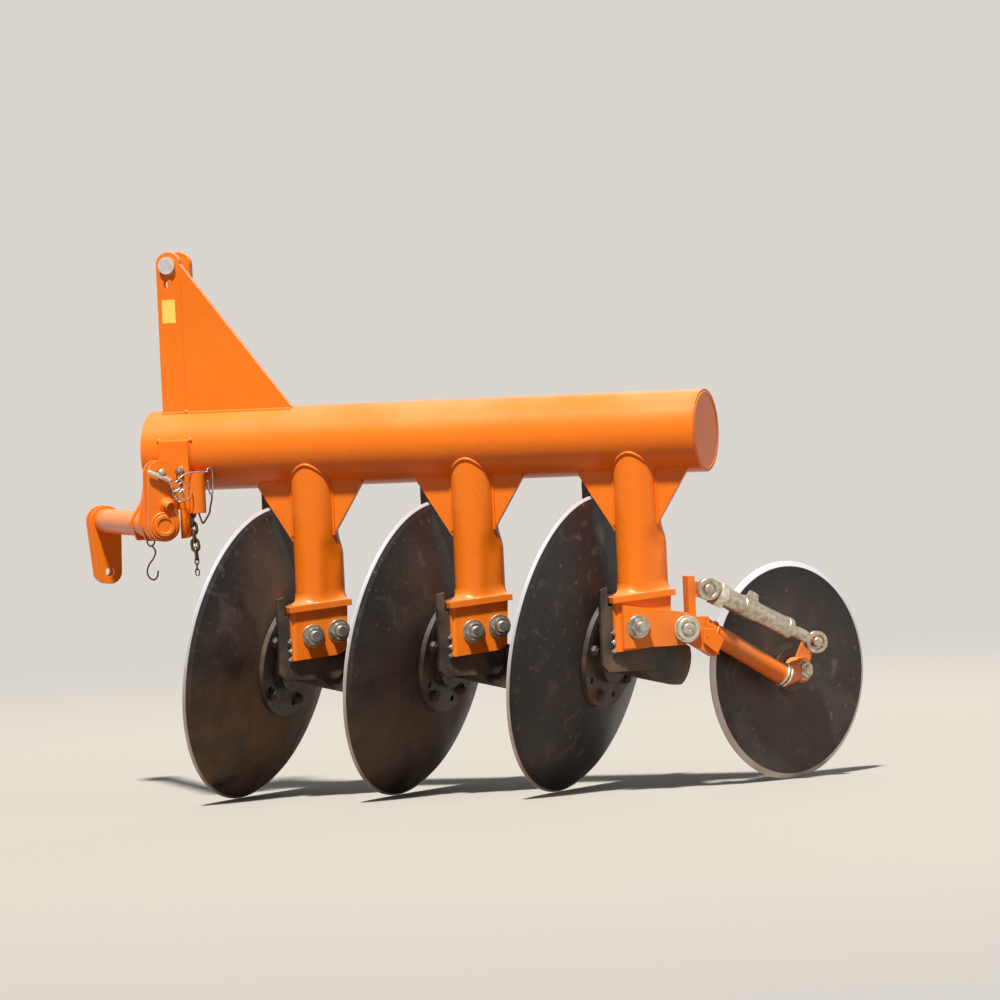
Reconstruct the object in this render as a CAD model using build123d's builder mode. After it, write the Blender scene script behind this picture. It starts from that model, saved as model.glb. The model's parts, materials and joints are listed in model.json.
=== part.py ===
from build123d import *
from math import cos, radians, sin, sqrt
import os

os.makedirs("parts", exist_ok=True)

# Three-disc mounted plough, in millimetres
# +X is the way it is drawn, +Y its left, +Z up; the floor is at zero under the middle of the machine.

# Beam: one long round tube, lying across the line of travel
BEAM_TURN = 35  # degrees between the beam and the line of travel
BEAM_FRONT_X = 766.9
BEAM_FRONT_Y = -151.3
BEAM_HEIGHT = 838
BEAM_RADIUS = 96.85
BEAM_WALL = 8
BEAM_LENGTH = 1390
CAP_THICKNESS = 10

# Legs: three round tubes that hang from the beam, each widened a little at its collar
LEG_COUNT = 3
FIRST_LEG = 410  # from the beam's front end
LEG_PITCH = 405
LEG_SIDE = 36  # left of the beam's axis
LEG_SHIFT = 6  # behind the middle of the foot
LEG_RADIUS = 54
LEG_WALL = 7
LEG_FLARE = 4
LEG_FLARE_HEIGHT = 24

# Gussets: flat triangles between beam and leg, front and rear
GUSSET_THICKNESS = 12
GUSSET_SIDE = 42
GUSSET_REACH = 133
GUSSET_SINK = 48  # below the beam's axis
GUSSET_BOTTOM = 612

# Feet: collar and face plate at the bottom of each leg
# The outlines are given as seen on the face, from the leg's axis: back, and up or outwards.
FOOT_TURN = 92  # degrees from +X to the way the foot's face looks
FOOT_LEAN = 4.5
FOOT_FACE = 50  # face of the plate, out from the leg's axis
FOOT_WALL = 16
FOOT_ROUND = 12
FOOT_OUTLINE = ((-78, 331), (34, 341), (56, 352), (62, 462), (-78, 451))
COLLAR_TOP = 466
COLLAR_THICKNESS = 14
COLLAR_OUTLINE = ((-84, 60), (70, 60), (70, -56), (-16, -56), (-84, 14))
FOOT_BOLT_RADIUS = 11
FOOT_BOLTS = ((-26, 389), (38, 398))

# Discs: dished blades with a flat middle and a ground bevel on their backs
DISC_RADIUS = 355.5
DISC_THICKNESS = 6
DISC_FLAT_RADIUS = 142
DISC_CURVE = 760
DISC_BEVEL = 15
DISC_EDGE = 1.2
DISC_BORE = 34
DISC_TURN = 137.9  # degrees from +X to the way the back of the disc looks
DISC_DIP = 11.3  # degrees that the back looks down
DISC_AHEAD = 116.9  # of the leg's axis
DISC_RIGHT = 136.2
DISC_LIFT = 348.6  # centre of the rim above the floor

# Hubs: flange, barrel and neck that turn with the disc
HUB_FLANGE_RADIUS = 138
HUB_FLANGE_THICKNESS = 13
HUB_BARREL_RADIUS = 76
HUB_NECK_RADIUS = 50
HUB_BARREL_LENGTH = 15
HUB_NECK_LENGTH = 42
HUB_BOLT_COUNT = 5
HUB_BOLT_CIRCLE = 112
HUB_BOLT_RADIUS = 8
HUB_CAP_RADIUS = 58
HUB_CAP_HEIGHT = 34
HUB_CAP_ROUND = 20

# Spindles: what carries each hub, cast in one with the bracket in the foot
SPINDLE_RADIUS = 26
SPINDLE_CLEARANCE = 0.6
HUB_GAP = 3
BOSS_RADIUS = 52
BOSS_LENGTH = 120
BOSS_SETBACK = 6  # of its end from the plate's face
BRACKET_THICKNESS = 18
BRACKET_OUTLINE = (
    (-92, 285),
    (36, 285),
    (52, 302),
    (52, 438),
    (-88, 438),
    (-88, 484),
    (-106, 478),
    (-106, 300),
)

# Scrapers: bent flat arm over the disc's rim and a blade that follows its hollow face
SCRAPER_WIDTH = 24
SCRAPER_STRIP = 12
SCRAPER_SHIFT = 22
SCRAPER_REACH = 142  # from the leg's axis to the arm's far side
SCRAPER_TOP = 730
SCRAPER_BEND = 640
BLADE_GAP = 9
BLADE_THICKNESS = 6
BLADE_WIDTH = 170
BLADE_HEIGHT = 110
BLADE_LIFT = 200
BLADE_SHIFT = 10
BLADE_LOW_ANGLE = 60  # of the ball shell that the blade is cut from
BLADE_SWEEP = 25

# Mast: a wide plate on the beam's left, a strap on its right, holes for the top link
MAST_FRONT = 36
MAST_WIDTH = 60
MAST_PLATE = 16
MAST_SIDE = 18
MAST_GAP = 50
MAST_TOP_HOLE = 1282
MAST_HOLE_PITCH = 46
MAST_HOLE_RADIUS = 12.9
MAST_BASE_END = 367
MAST_SINK = 25  # below the beam's top
TOP_PIN_RADIUS = 12.5
TOP_PIN_HEAD = 20.5
TOP_PIN_HEAD_LENGTH = 10

# Hitch: cranked cross shaft with two pairs of ears, and the plates that hang it from the beam
# The left ears stand up from the shaft and the right ears hang down from it.
SHAFT_X = 25.5  # ahead of the beam's front end
SHAFT_DROP = 174  # below the beam's axis
SHAFT_RADIUS = 30
CRANK_X = 4  # from the shaft's axis to the holes in the left ears
CRANK_Z = 126
HITCH_SPAN = 683
HITCH_LEFT = 144  # middle of the left pair of ears, left of the beam's front end
EAR_THICKNESS = 12
EAR_GAP = 40
EAR_HOLE_ROUND = 30
EAR_SHAFT_ROUND = 38
EAR_HOLE_RADIUS = 11.25
EAR_CLEARANCE = 2
HANGER_PLATE = 16
HANGERS = (  # name, middle to the left of the front end, front and rear edges at the beam
    ("hanger_left", 48, 28, -60),
    ("hanger_right", -58, -46, -134),
)
HITCH_PLATE_START = 50
HITCH_PLATE_LENGTH = 76
HITCH_PLATE_RISE = 24  # above the beam's axis
HITCH_PLATE_DROP = 138  # below it
HITCH_PLATE_THICKNESS = 16
HITCH_PLATE_BITE = 8
SLEEVE_RADIUS = 20.5
SLEEVE_DROP = 54  # below the beam's axis
SLEEVE_LENGTH = 94

# Furrow wheel: carrier on the last foot, swinging arm, adjusting link and a flat wheel
# Places are given from the last leg's axis: back, out to the left, and above the floor.
CARRIER_THICKNESS = 14
CARRIER_OUTLINE = ((-62, 339), (88, 340), (88, 417), (-62, 441))
CARRIER_ROUND = 36
POST_FRONT = 100
POST_WIDTH = 17
POST_TOP = 500
POST_FOOT = 385
POST_DEEP_FOOT = 414
POST_DEPTH = 38
LINK_LUG_ROUND = 18
PIVOT_BACK = 88
PIVOT_Z = 378
PIVOT_RADIUS = 15
PIVOT_CLEARANCE = 0.3
PIVOT_HEAD = 27
CHEEK_THICKNESS = 14
CHEEK_ROUND = 28
INNER_CHEEK_ROUND = 22
ARM_GAP = 1
YOKE_OUTLINE = ((128, 400), (142, 404), (165, 314), (150, 310))
ARM_BAR_RADIUS = 24
ARM_START = (138, 57, 377)
ARM_ELBOW = (360, -26, 248)
AXLE_BLOCK_RADIUS = 30
AXLE_BLOCK_START = 15  # from the wheel's middle plane
AXLE_BLOCK_END = 50
CROSS_BAR_RADIUS = 10
LUG_FOOT = (414, 266)
LUG_ROUND = 17
LUG_THICKNESS = 14
LUG_OUT = -64
LINK_TOP = (142, 82, 468)  # the link's upper eye and its lower eye
LINK_LOW = (442, -30, 324)
LINK_EYE_WIDTH = 18
LINK_EYE_ROUND = 26
LINK_EYE_PLAY = 2.6
LINK_NECK_RADIUS = 9
LINK_SLEEVE_RADIUS = 24
LINK_SLEEVE_START = 36  # from the upper eye along the link
LINK_SLEEVE_END = 262
LINK_ROD_RADIUS = 14
LINK_ROD_START = 150
LINK_HOLLOW_START = 110
WHEEL_TURN = 118  # degrees from +X to the way the wheel's left face looks
WHEEL_BACK = 396
WHEEL_OUT = -100
WHEEL_RADIUS = 258
WHEEL_THICKNESS = 10
WHEEL_BEVEL = 14
WHEEL_EDGE = 2
WHEEL_HUB_RADIUS = 52
WHEEL_HUB_INNER = 11
WHEEL_HUB_OUTER = 50
AXLE_RADIUS = 16

turn = radians(BEAM_TURN)
beam_back = Vector(-cos(turn), sin(turn), 0)
beam_left = Vector(sin(turn), cos(turn), 0)
foot_out = Vector(cos(radians(FOOT_TURN)), sin(radians(FOOT_TURN)), 0)
foot_back = Vector(0, 0, 1).cross(foot_out)


def finish(part, label):
    part.label = label
    export_step(part, f"parts/{label}.step")


def beam_point(station, side=0, height=BEAM_HEIGHT):
    base = Vector(BEAM_FRONT_X, BEAM_FRONT_Y, height)
    return base + beam_back * station + beam_left * side


def beam_section(station):
    return Plane(origin=beam_point(station), x_dir=beam_left * -1, z_dir=beam_back)


def beam_side(side):
    return Plane(origin=beam_point(0, side, 0), x_dir=beam_back, z_dir=beam_left)


def front_point(ahead, left, height):
    return Vector(BEAM_FRONT_X + ahead, BEAM_FRONT_Y + left, height)


def front_plane(left):
    return Plane(origin=front_point(0, left, 0), x_dir=(-1, 0, 0), z_dir=(0, 1, 0))


def leg_station(index):
    return FIRST_LEG + index * LEG_PITCH


def foot_face(index, out):
    base = beam_point(leg_station(index), LEG_SIDE, 0)
    return Plane(origin=base + foot_out * out, x_dir=foot_back, z_dir=foot_out)


def last_foot(back, out, height):
    base = beam_point(leg_station(LEG_COUNT - 1), LEG_SIDE, height)
    return base + foot_back * back + foot_out * out


def collar_face(index):
    lean = radians(FOOT_LEAN)
    rise = Vector(0, 0, 1)
    along = foot_back * cos(lean) + rise * sin(lean)
    origin = beam_point(leg_station(index), LEG_SIDE, COLLAR_TOP)
    return Plane(origin=origin, x_dir=along, z_dir=along.cross(foot_out))


def axle_vectors(azimuth, dip):
    level = radians(azimuth)
    low = radians(dip)
    axis = Vector(cos(level) * cos(low), sin(level) * cos(low), -sin(low))
    across = Vector(-sin(level), cos(level), 0)
    return axis, across


disc_axis, disc_across = axle_vectors(DISC_TURN, DISC_DIP)
disc_side = disc_across.cross(disc_axis)
scraper_way = Vector(-cos(radians(DISC_TURN)), -sin(radians(DISC_TURN)), 0)


def disc_centre(index):
    base = beam_point(leg_station(index), LEG_SIDE, DISC_LIFT)
    return base + Vector(DISC_AHEAD, -DISC_RIGHT, 0)


def disc_face(index, back):
    return Plane(origin=disc_centre(index) + disc_axis * back, x_dir=disc_across, z_dir=disc_axis)


def disc_profile(index):
    return Plane(origin=disc_centre(index), x_dir=disc_across, z_dir=disc_side)


def dish(radius, skin=0):
    inner = sqrt(DISC_CURVE**2 - DISC_RADIUS**2)
    return sqrt((DISC_CURVE + skin) ** 2 - radius**2) - inner


DISH_FLOOR = dish(DISC_FLAT_RADIUS)
DISC_BACK = dish(DISC_FLAT_RADIUS, DISC_THICKNESS)
BARREL_START = DISC_BACK + HUB_FLANGE_THICKNESS
NECK_START = BARREL_START + HUB_BARREL_LENGTH
HUB_END = NECK_START + HUB_NECK_LENGTH

# Beam tube with its two welded caps
with BuildPart() as beam_tube:
    with BuildSketch(beam_section(0)):
        Circle(BEAM_RADIUS)
        Circle(BEAM_RADIUS - BEAM_WALL, mode=Mode.SUBTRACT)
    extrude(amount=BEAM_LENGTH)
finish(beam_tube.part, "beam_tube")

for label, station in (("beam_cap_front", 0), ("beam_cap_rear", BEAM_LENGTH - CAP_THICKNESS)):
    with BuildPart() as cap:
        with BuildSketch(beam_section(station)):
            Circle(BEAM_RADIUS - BEAM_WALL)
        extrude(amount=CAP_THICKNESS)
    finish(cap.part, label)

# One working unit for each leg
for index in range(LEG_COUNT):
    unit = index + 1
    leg_foot = beam_point(leg_station(index), LEG_SIDE, 0)

    # Leg: straight tube from the beam to the collar, wider where it is welded on
    leg_axis = Axis(leg_foot + foot_back * LEG_SHIFT, (0, 0, 1))
    with BuildPart() as leg:
        with BuildSketch(Plane(origin=leg_axis.position, x_dir=foot_back, z_dir=foot_out)):
            Polygon(
                (LEG_RADIUS - LEG_WALL, COLLAR_TOP - LEG_FLARE_HEIGHT),
                (LEG_RADIUS + LEG_FLARE, COLLAR_TOP - LEG_FLARE_HEIGHT),
                (LEG_RADIUS, COLLAR_TOP + LEG_FLARE_HEIGHT),
                (LEG_RADIUS, BEAM_HEIGHT),
                (LEG_RADIUS - LEG_WALL, BEAM_HEIGHT),
                align=None,
            )
        revolve(axis=leg_axis)
        split(bisect_by=collar_face(index), keep=Keep.BOTTOM)
        with BuildSketch(beam_section(0)):
            Circle(BEAM_RADIUS)
        extrude(amount=BEAM_LENGTH, mode=Mode.SUBTRACT)
    finish(leg.part, f"leg_{unit}")

    # Gussets, one before and one behind the leg
    for label, way in (("gusset_front", -1), ("gusset_rear", 1)):
        with BuildPart() as gusset:
            with BuildSketch(beam_side(GUSSET_SIDE)):
                with Locations((leg_station(index), 0)):
                    Polygon(
                        (way * LEG_RADIUS / 2, BEAM_HEIGHT - GUSSET_SINK),
                        (way * GUSSET_REACH, BEAM_HEIGHT - GUSSET_SINK),
                        (way * GUSSET_REACH, BEAM_HEIGHT - BEAM_RADIUS + 4),
                        (way * LEG_RADIUS * 0.9, GUSSET_BOTTOM),
                        (way * LEG_RADIUS / 2, GUSSET_BOTTOM),
                        align=None,
                    )
            extrude(amount=GUSSET_THICKNESS / 2, both=True)
            with BuildSketch(beam_section(0)):
                Circle(BEAM_RADIUS)
            extrude(amount=BEAM_LENGTH, mode=Mode.SUBTRACT)
            with BuildSketch(Plane(origin=leg_axis.position, z_dir=(0, 0, 1))):
                Circle(LEG_RADIUS)
            extrude(amount=BEAM_HEIGHT, mode=Mode.SUBTRACT)
        finish(gusset.part, f"{label}_{unit}")

    # Foot: collar cut back where the disc turns, and a face plate with its front edge rounded
    with BuildPart() as foot:
        with BuildSketch(foot_face(index, FOOT_FACE)):
            Polygon(*FOOT_OUTLINE, align=None)
        extrude(amount=-FOOT_WALL)
        front_edge = leg_foot + foot_out * FOOT_FACE + foot_back * FOOT_OUTLINE[0][0]
        fillet(foot.edges().filter_by(Axis.Z).sort_by_distance(front_edge)[0], radius=FOOT_ROUND)
        with BuildSketch(collar_face(index)):
            Polygon(*COLLAR_OUTLINE, align=None)
        extrude(amount=COLLAR_THICKNESS)
        with BuildSketch(foot_face(index, FOOT_FACE)):
            with Locations(*FOOT_BOLTS):
                Circle(FOOT_BOLT_RADIUS)
        extrude(amount=-FOOT_WALL, mode=Mode.SUBTRACT)
    finish(foot.part, f"foot_{unit}")

    # Disc: dished shell with a flat middle, bevelled on its back
    with BuildPart() as disc:
        with BuildSketch(disc_profile(index)):
            with BuildLine():
                bevel_start = DISC_RADIUS - DISC_BEVEL
                middle = (DISC_FLAT_RADIUS + DISC_RADIUS) / 2
                back_middle = (DISC_FLAT_RADIUS + bevel_start) / 2
                Line((DISC_BORE, DISH_FLOOR), (DISC_FLAT_RADIUS, DISH_FLOOR))
                ThreePointArc(
                    (DISC_FLAT_RADIUS, DISH_FLOOR), (middle, dish(middle)), (DISC_RADIUS, 0)
                )
                Line((DISC_RADIUS, 0), (DISC_RADIUS, DISC_EDGE))
                Line((DISC_RADIUS, DISC_EDGE), (bevel_start, dish(bevel_start, DISC_THICKNESS)))
                ThreePointArc(
                    (bevel_start, dish(bevel_start, DISC_THICKNESS)),
                    (back_middle, dish(back_middle, DISC_THICKNESS)),
                    (DISC_FLAT_RADIUS, DISC_BACK),
                )
                Line((DISC_FLAT_RADIUS, DISC_BACK), (DISC_BORE, DISC_BACK))
                Line((DISC_BORE, DISC_BACK), (DISC_BORE, DISH_FLOOR))
            make_face()
        revolve(axis=Axis(disc_centre(index), disc_axis))
    finish(disc.part, f"disc_{unit}")

    # Hub: flange against the disc's back, barrel and neck over the spindle
    with BuildPart() as hub:
        with BuildSketch(disc_face(index, DISC_BACK)):
            Circle(HUB_FLANGE_RADIUS)
            with PolarLocations(HUB_BOLT_CIRCLE, HUB_BOLT_COUNT):
                Circle(HUB_BOLT_RADIUS, mode=Mode.SUBTRACT)
        extrude(amount=HUB_FLANGE_THICKNESS)
        with BuildSketch(disc_face(index, BARREL_START)):
            Circle(HUB_BARREL_RADIUS)
        extrude(amount=HUB_BARREL_LENGTH)
        with BuildSketch(disc_face(index, NECK_START)):
            Circle(HUB_NECK_RADIUS)
        extrude(amount=HUB_NECK_LENGTH)
        with BuildSketch(disc_face(index, HUB_END)):
            Circle(SPINDLE_RADIUS + SPINDLE_CLEARANCE)
        extrude(amount=BARREL_START - HUB_END, mode=Mode.SUBTRACT)
    finish(hub.part, f"hub_{unit}")

    # Hub cap: low dome in the hollow of the disc
    with BuildPart() as hub_cap:
        with BuildSketch(disc_face(index, DISH_FLOOR)):
            Circle(HUB_CAP_RADIUS)
        extrude(amount=-HUB_CAP_HEIGHT)
        far_edge = hub_cap.faces().sort_by(Axis(disc_centre(index), disc_axis))[0].edges()
        fillet(far_edge, radius=HUB_CAP_ROUND)
    finish(hub_cap.part, f"hub_cap_{unit}")

    # Hub bracket: plate behind the foot's face, round neck towards the hub, and spindle
    boss_start = HUB_END + HUB_GAP
    plate_front = FOOT_FACE - FOOT_WALL
    with BuildPart() as hub_bracket:
        with BuildSketch(disc_face(index, boss_start)):
            Circle(BOSS_RADIUS)
        extrude(amount=BOSS_LENGTH)
        split(bisect_by=foot_face(index, plate_front - BOSS_SETBACK), keep=Keep.BOTTOM)
        with BuildSketch(foot_face(index, plate_front)):
            Polygon(*BRACKET_OUTLINE, align=None)
        extrude(amount=-BRACKET_THICKNESS)
        with BuildSketch(disc_face(index, boss_start)):
            Circle(SPINDLE_RADIUS)
        extrude(amount=BARREL_START + 4 - boss_start)
    finish(hub_bracket.part, f"hub_bracket_{unit}")

    # Scraper: blade cut from a ball shell inside the dish, held by the bent arm
    ball_centre = disc_centre(index) - disc_axis * sqrt(DISC_CURVE**2 - DISC_RADIUS**2)
    outer = DISC_CURVE - BLADE_GAP
    inner = outer - BLADE_THICKNESS
    blade_back = dish(BLADE_LIFT) - BLADE_GAP - BLADE_THICKNESS / 2
    blade_point = disc_centre(index) - disc_side * BLADE_LIFT + disc_axis * blade_back
    blade_reach = (blade_point - leg_foot).dot(scraper_way)
    arm_plane = Plane(
        origin=leg_foot + disc_across * SCRAPER_SHIFT,
        x_dir=scraper_way,
        z_dir=disc_across,
    )
    with BuildPart() as scraper:
        with BuildSketch(disc_face(index, 0)):
            with Locations((BLADE_SHIFT, BLADE_LIFT)):
                RectangleRounded(BLADE_WIDTH, BLADE_HEIGHT, 26)
        extrude(amount=BLADE_WIDTH, both=True)
        with BuildSketch(Plane(origin=ball_centre, x_dir=disc_across, z_dir=disc_side)):
            with BuildLine():
                CenterArc((0, 0), outer, BLADE_LOW_ANGLE, BLADE_SWEEP)
                CenterArc((0, 0), inner, BLADE_LOW_ANGLE, BLADE_SWEEP)
                for angle in (radians(BLADE_LOW_ANGLE), radians(BLADE_LOW_ANGLE + BLADE_SWEEP)):
                    Line(
                        (inner * cos(angle), inner * sin(angle)),
                        (outer * cos(angle), outer * sin(angle)),
                    )
            make_face()
        revolve(axis=Axis(ball_centre, disc_axis), mode=Mode.INTERSECT)
        with BuildSketch(arm_plane):
            Polygon(
                (LEG_RADIUS / 2, SCRAPER_TOP - SCRAPER_STRIP),
                (LEG_RADIUS / 2, SCRAPER_TOP),
                (SCRAPER_REACH, SCRAPER_TOP),
                (SCRAPER_REACH, SCRAPER_BEND),
                (blade_reach + SCRAPER_STRIP, blade_point.Z),
                (blade_reach, blade_point.Z),
                (SCRAPER_REACH - SCRAPER_STRIP, SCRAPER_BEND),
                (SCRAPER_REACH - SCRAPER_STRIP, SCRAPER_TOP - SCRAPER_STRIP),
                align=None,
            )
        extrude(amount=SCRAPER_WIDTH / 2, both=True)
        with BuildSketch(Plane(origin=leg_axis.position, z_dir=(0, 0, 1))):
            Circle(LEG_RADIUS)
        extrude(amount=BEAM_HEIGHT, mode=Mode.SUBTRACT)
    finish(scraper.part, f"scraper_{unit}")

# Mast: wide plate, strap, and the pin across their upper holes
beam_top = BEAM_HEIGHT + BEAM_RADIUS
mast_foot = beam_top - MAST_SINK
mast_holes = (MAST_TOP_HOLE, MAST_TOP_HOLE - MAST_HOLE_PITCH)
with BuildPart() as mast_plate:
    with BuildSketch(beam_side(MAST_SIDE)):
        with BuildLine():
            mast_back = MAST_FRONT + MAST_WIDTH
            mast_middle = MAST_FRONT + MAST_WIDTH / 2
            round_centre = MAST_TOP_HOLE + 2
            Line((MAST_FRONT, mast_foot - 20), (MAST_FRONT, round_centre))
            ThreePointArc(
                (MAST_FRONT, round_centre),
                (mast_middle, round_centre + MAST_WIDTH / 2),
                (mast_back, round_centre),
            )
            Line((mast_back, round_centre), (MAST_BASE_END, beam_top - 2))
            Line((MAST_BASE_END, beam_top - 2), (MAST_BASE_END, mast_foot - 20))
            Line((MAST_BASE_END, mast_foot - 20), (MAST_FRONT, mast_foot - 20))
        make_face()
        with Locations(*[(mast_middle, height) for height in mast_holes]):
            Circle(MAST_HOLE_RADIUS, mode=Mode.SUBTRACT)
    extrude(amount=MAST_PLATE)
    with BuildSketch(beam_section(0)):
        Circle(BEAM_RADIUS)
    extrude(amount=BEAM_LENGTH, mode=Mode.SUBTRACT)
finish(mast_plate.part, "mast_plate")

with BuildPart() as mast_strap:
    with BuildSketch(beam_side(MAST_SIDE - MAST_GAP)):
        with Locations((mast_middle, MAST_TOP_HOLE + 2)):
            Circle(MAST_WIDTH / 2)
            Rectangle(MAST_WIDTH, MAST_TOP_HOLE - mast_foot, align=(Align.CENTER, Align.MAX))
        with Locations(*[(mast_middle, height) for height in mast_holes]):
            Circle(MAST_HOLE_RADIUS, mode=Mode.SUBTRACT)
    extrude(amount=-MAST_PLATE)
    with BuildSketch(beam_section(0)):
        Circle(BEAM_RADIUS)
    extrude(amount=BEAM_LENGTH, mode=Mode.SUBTRACT)
finish(mast_strap.part, "mast_strap")

with BuildPart() as top_pin:
    with BuildSketch(beam_side(MAST_SIDE - MAST_GAP - MAST_PLATE - 20)):
        with Locations((mast_middle, MAST_TOP_HOLE)):
            Circle(TOP_PIN_RADIUS)
    extrude(amount=20 + 2 * MAST_PLATE + MAST_GAP + TOP_PIN_HEAD_LENGTH)
    with BuildSketch(beam_side(MAST_SIDE + MAST_PLATE)):
        with Locations((mast_middle, MAST_TOP_HOLE)):
            Circle(TOP_PIN_HEAD)
    extrude(amount=TOP_PIN_HEAD_LENGTH)
finish(top_pin.part, "top_pin")

# Hitch: plate on the beam's left, hangers below it, and the cross shaft with its ears
shaft_z = BEAM_HEIGHT - SHAFT_DROP
sleeve_station = HITCH_PLATE_START + HITCH_PLATE_LENGTH + SLEEVE_RADIUS - 2
sleeve_side = BEAM_RADIUS - HITCH_PLATE_BITE + HITCH_PLATE_THICKNESS
sleeve_foot = BEAM_HEIGHT - SLEEVE_DROP - SLEEVE_LENGTH
with BuildPart() as hitch_plate:
    with BuildSketch(beam_side(BEAM_RADIUS - HITCH_PLATE_BITE)):
        with Locations((HITCH_PLATE_START, BEAM_HEIGHT - HITCH_PLATE_DROP)):
            Rectangle(
                HITCH_PLATE_LENGTH,
                HITCH_PLATE_DROP + HITCH_PLATE_RISE,
                align=(Align.MIN, Align.MIN),
            )
    extrude(amount=HITCH_PLATE_THICKNESS)
    with BuildSketch(beam_section(0)):
        Circle(BEAM_RADIUS)
    extrude(amount=BEAM_LENGTH, mode=Mode.SUBTRACT)
    with BuildSketch(front_plane(HITCH_LEFT - EAR_GAP / 2 + EAR_CLEARANCE)):
        with Locations((-SHAFT_X, shaft_z)):
            Circle(EAR_SHAFT_ROUND + EAR_CLEARANCE)
        with Locations((-SHAFT_X - CRANK_X, shaft_z + CRANK_Z)):
            Circle(EAR_HOLE_ROUND + EAR_CLEARANCE)
        make_hull()
    extrude(amount=-EAR_THICKNESS - 2 * EAR_CLEARANCE, mode=Mode.SUBTRACT)
    with BuildSketch(Plane(origin=beam_point(sleeve_station, sleeve_side, sleeve_foot))):
        Circle(SLEEVE_RADIUS)
    extrude(amount=SLEEVE_LENGTH, mode=Mode.SUBTRACT)
finish(hitch_plate.part, "hitch_plate")

for label, middle_y, front, rear in HANGERS:
    with BuildPart() as hanger:
        with BuildSketch(front_plane(middle_y)):
            Polygon(
                (-front, BEAM_HEIGHT),
                (-rear, BEAM_HEIGHT),
                (EAR_SHAFT_ROUND - SHAFT_X, shaft_z - 6),
                (EAR_SHAFT_ROUND / 2 - SHAFT_X, shaft_z - EAR_SHAFT_ROUND),
                (-EAR_SHAFT_ROUND / 2 - SHAFT_X, shaft_z - EAR_SHAFT_ROUND),
                (-EAR_SHAFT_ROUND - SHAFT_X, shaft_z + 6),
                align=None,
            )
        extrude(amount=HANGER_PLATE / 2, both=True)
        with BuildSketch(front_plane(middle_y)):
            with Locations((-SHAFT_X, shaft_z)):
                Circle(SHAFT_RADIUS)
        extrude(amount=HANGER_PLATE, both=True, mode=Mode.SUBTRACT)
        with BuildSketch(beam_section(-BEAM_RADIUS)):
            Circle(BEAM_RADIUS)
        extrude(amount=BEAM_LENGTH, mode=Mode.SUBTRACT)
    finish(hanger.part, label)

with BuildPart() as cross_shaft:
    with BuildSketch(front_plane(HITCH_LEFT + EAR_GAP / 2 + EAR_THICKNESS + 3)):
        with Locations((-SHAFT_X, shaft_z)):
            Circle(SHAFT_RADIUS)
    extrude(amount=-(HITCH_SPAN + EAR_GAP + 2 * EAR_THICKNESS + 6))
    for middle_y, way in ((HITCH_LEFT, 1), (HITCH_LEFT - HITCH_SPAN, -1)):
        hole_place = (-SHAFT_X - way * CRANK_X, shaft_z + way * CRANK_Z)
        for ear_y in (middle_y - EAR_GAP / 2, middle_y + EAR_GAP / 2 + EAR_THICKNESS):
            with BuildSketch(front_plane(ear_y)):
                with Locations((-SHAFT_X, shaft_z)):
                    Circle(EAR_SHAFT_ROUND)
                with Locations(hole_place):
                    Circle(EAR_HOLE_ROUND)
                make_hull()
                with Locations(hole_place):
                    Circle(EAR_HOLE_RADIUS, mode=Mode.SUBTRACT)
            extrude(amount=-EAR_THICKNESS)
finish(cross_shaft.part, "cross_shaft")

with BuildPart() as pin_sleeve:
    with BuildSketch(Plane(origin=beam_point(sleeve_station, sleeve_side, sleeve_foot))):
        Circle(SLEEVE_RADIUS)
        Circle(SLEEVE_RADIUS - 6, mode=Mode.SUBTRACT)
    extrude(amount=SLEEVE_LENGTH)
finish(pin_sleeve.part, "pin_sleeve")

# Furrow wheel's carrier: plate on the last foot with a post and a lug for the adjusting link
last = LEG_COUNT - 1
carrier_front = FOOT_FACE + CARRIER_THICKNESS
link_top_place = (LINK_TOP[0], LINK_TOP[2])
link_low_place = (LINK_LOW[0], LINK_LOW[2])
with BuildPart() as carrier:
    with BuildSketch(foot_face(last, FOOT_FACE)):
        Polygon(*CARRIER_OUTLINE, align=None)
        with Locations((PIVOT_BACK, PIVOT_Z)):
            Circle(CARRIER_ROUND)
        with Locations((POST_FRONT, POST_FOOT)):
            Rectangle(POST_WIDTH, POST_TOP - POST_FOOT, align=(Align.MIN, Align.MIN))
        with Locations(link_top_place):
            Circle(LINK_LUG_ROUND)
            Rectangle(
                LINK_TOP[0] - POST_FRONT, 2 * LINK_LUG_ROUND, align=(Align.MAX, Align.CENTER)
            )
        with Locations((PIVOT_BACK, PIVOT_Z)):
            Circle(PIVOT_RADIUS + PIVOT_CLEARANCE, mode=Mode.SUBTRACT)
    extrude(amount=CARRIER_THICKNESS)
    with BuildSketch(foot_face(last, FOOT_FACE)):
        with Locations((POST_FRONT, POST_DEEP_FOOT)):
            Rectangle(POST_WIDTH, POST_TOP - POST_DEEP_FOOT, align=(Align.MIN, Align.MIN))
    extrude(amount=CARRIER_THICKNESS - POST_DEPTH)
    with BuildSketch(foot_face(last, carrier_front)):
        with Locations(link_top_place):
            Circle(CROSS_BAR_RADIUS)
    extrude(amount=LINK_TOP[1] + LINK_EYE_WIDTH / 2 - carrier_front + 4)
finish(carrier.part, "wheel_carrier")

cheek_out = carrier_front + ARM_GAP
cheek_in = FOOT_FACE - ARM_GAP - CHEEK_THICKNESS
with BuildPart() as pivot_pin:
    with BuildSketch(foot_face(last, cheek_in - 1)):
        with Locations((PIVOT_BACK, PIVOT_Z)):
            Circle(PIVOT_RADIUS)
    extrude(amount=cheek_out + CHEEK_THICKNESS + 2 - cheek_in)
    with BuildSketch(foot_face(last, cheek_out + CHEEK_THICKNESS + 1)):
        with Locations((PIVOT_BACK, PIVOT_Z)):
            Circle(PIVOT_HEAD)
    extrude(amount=10)
finish(pivot_pin.part, "pivot_pin")

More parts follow.
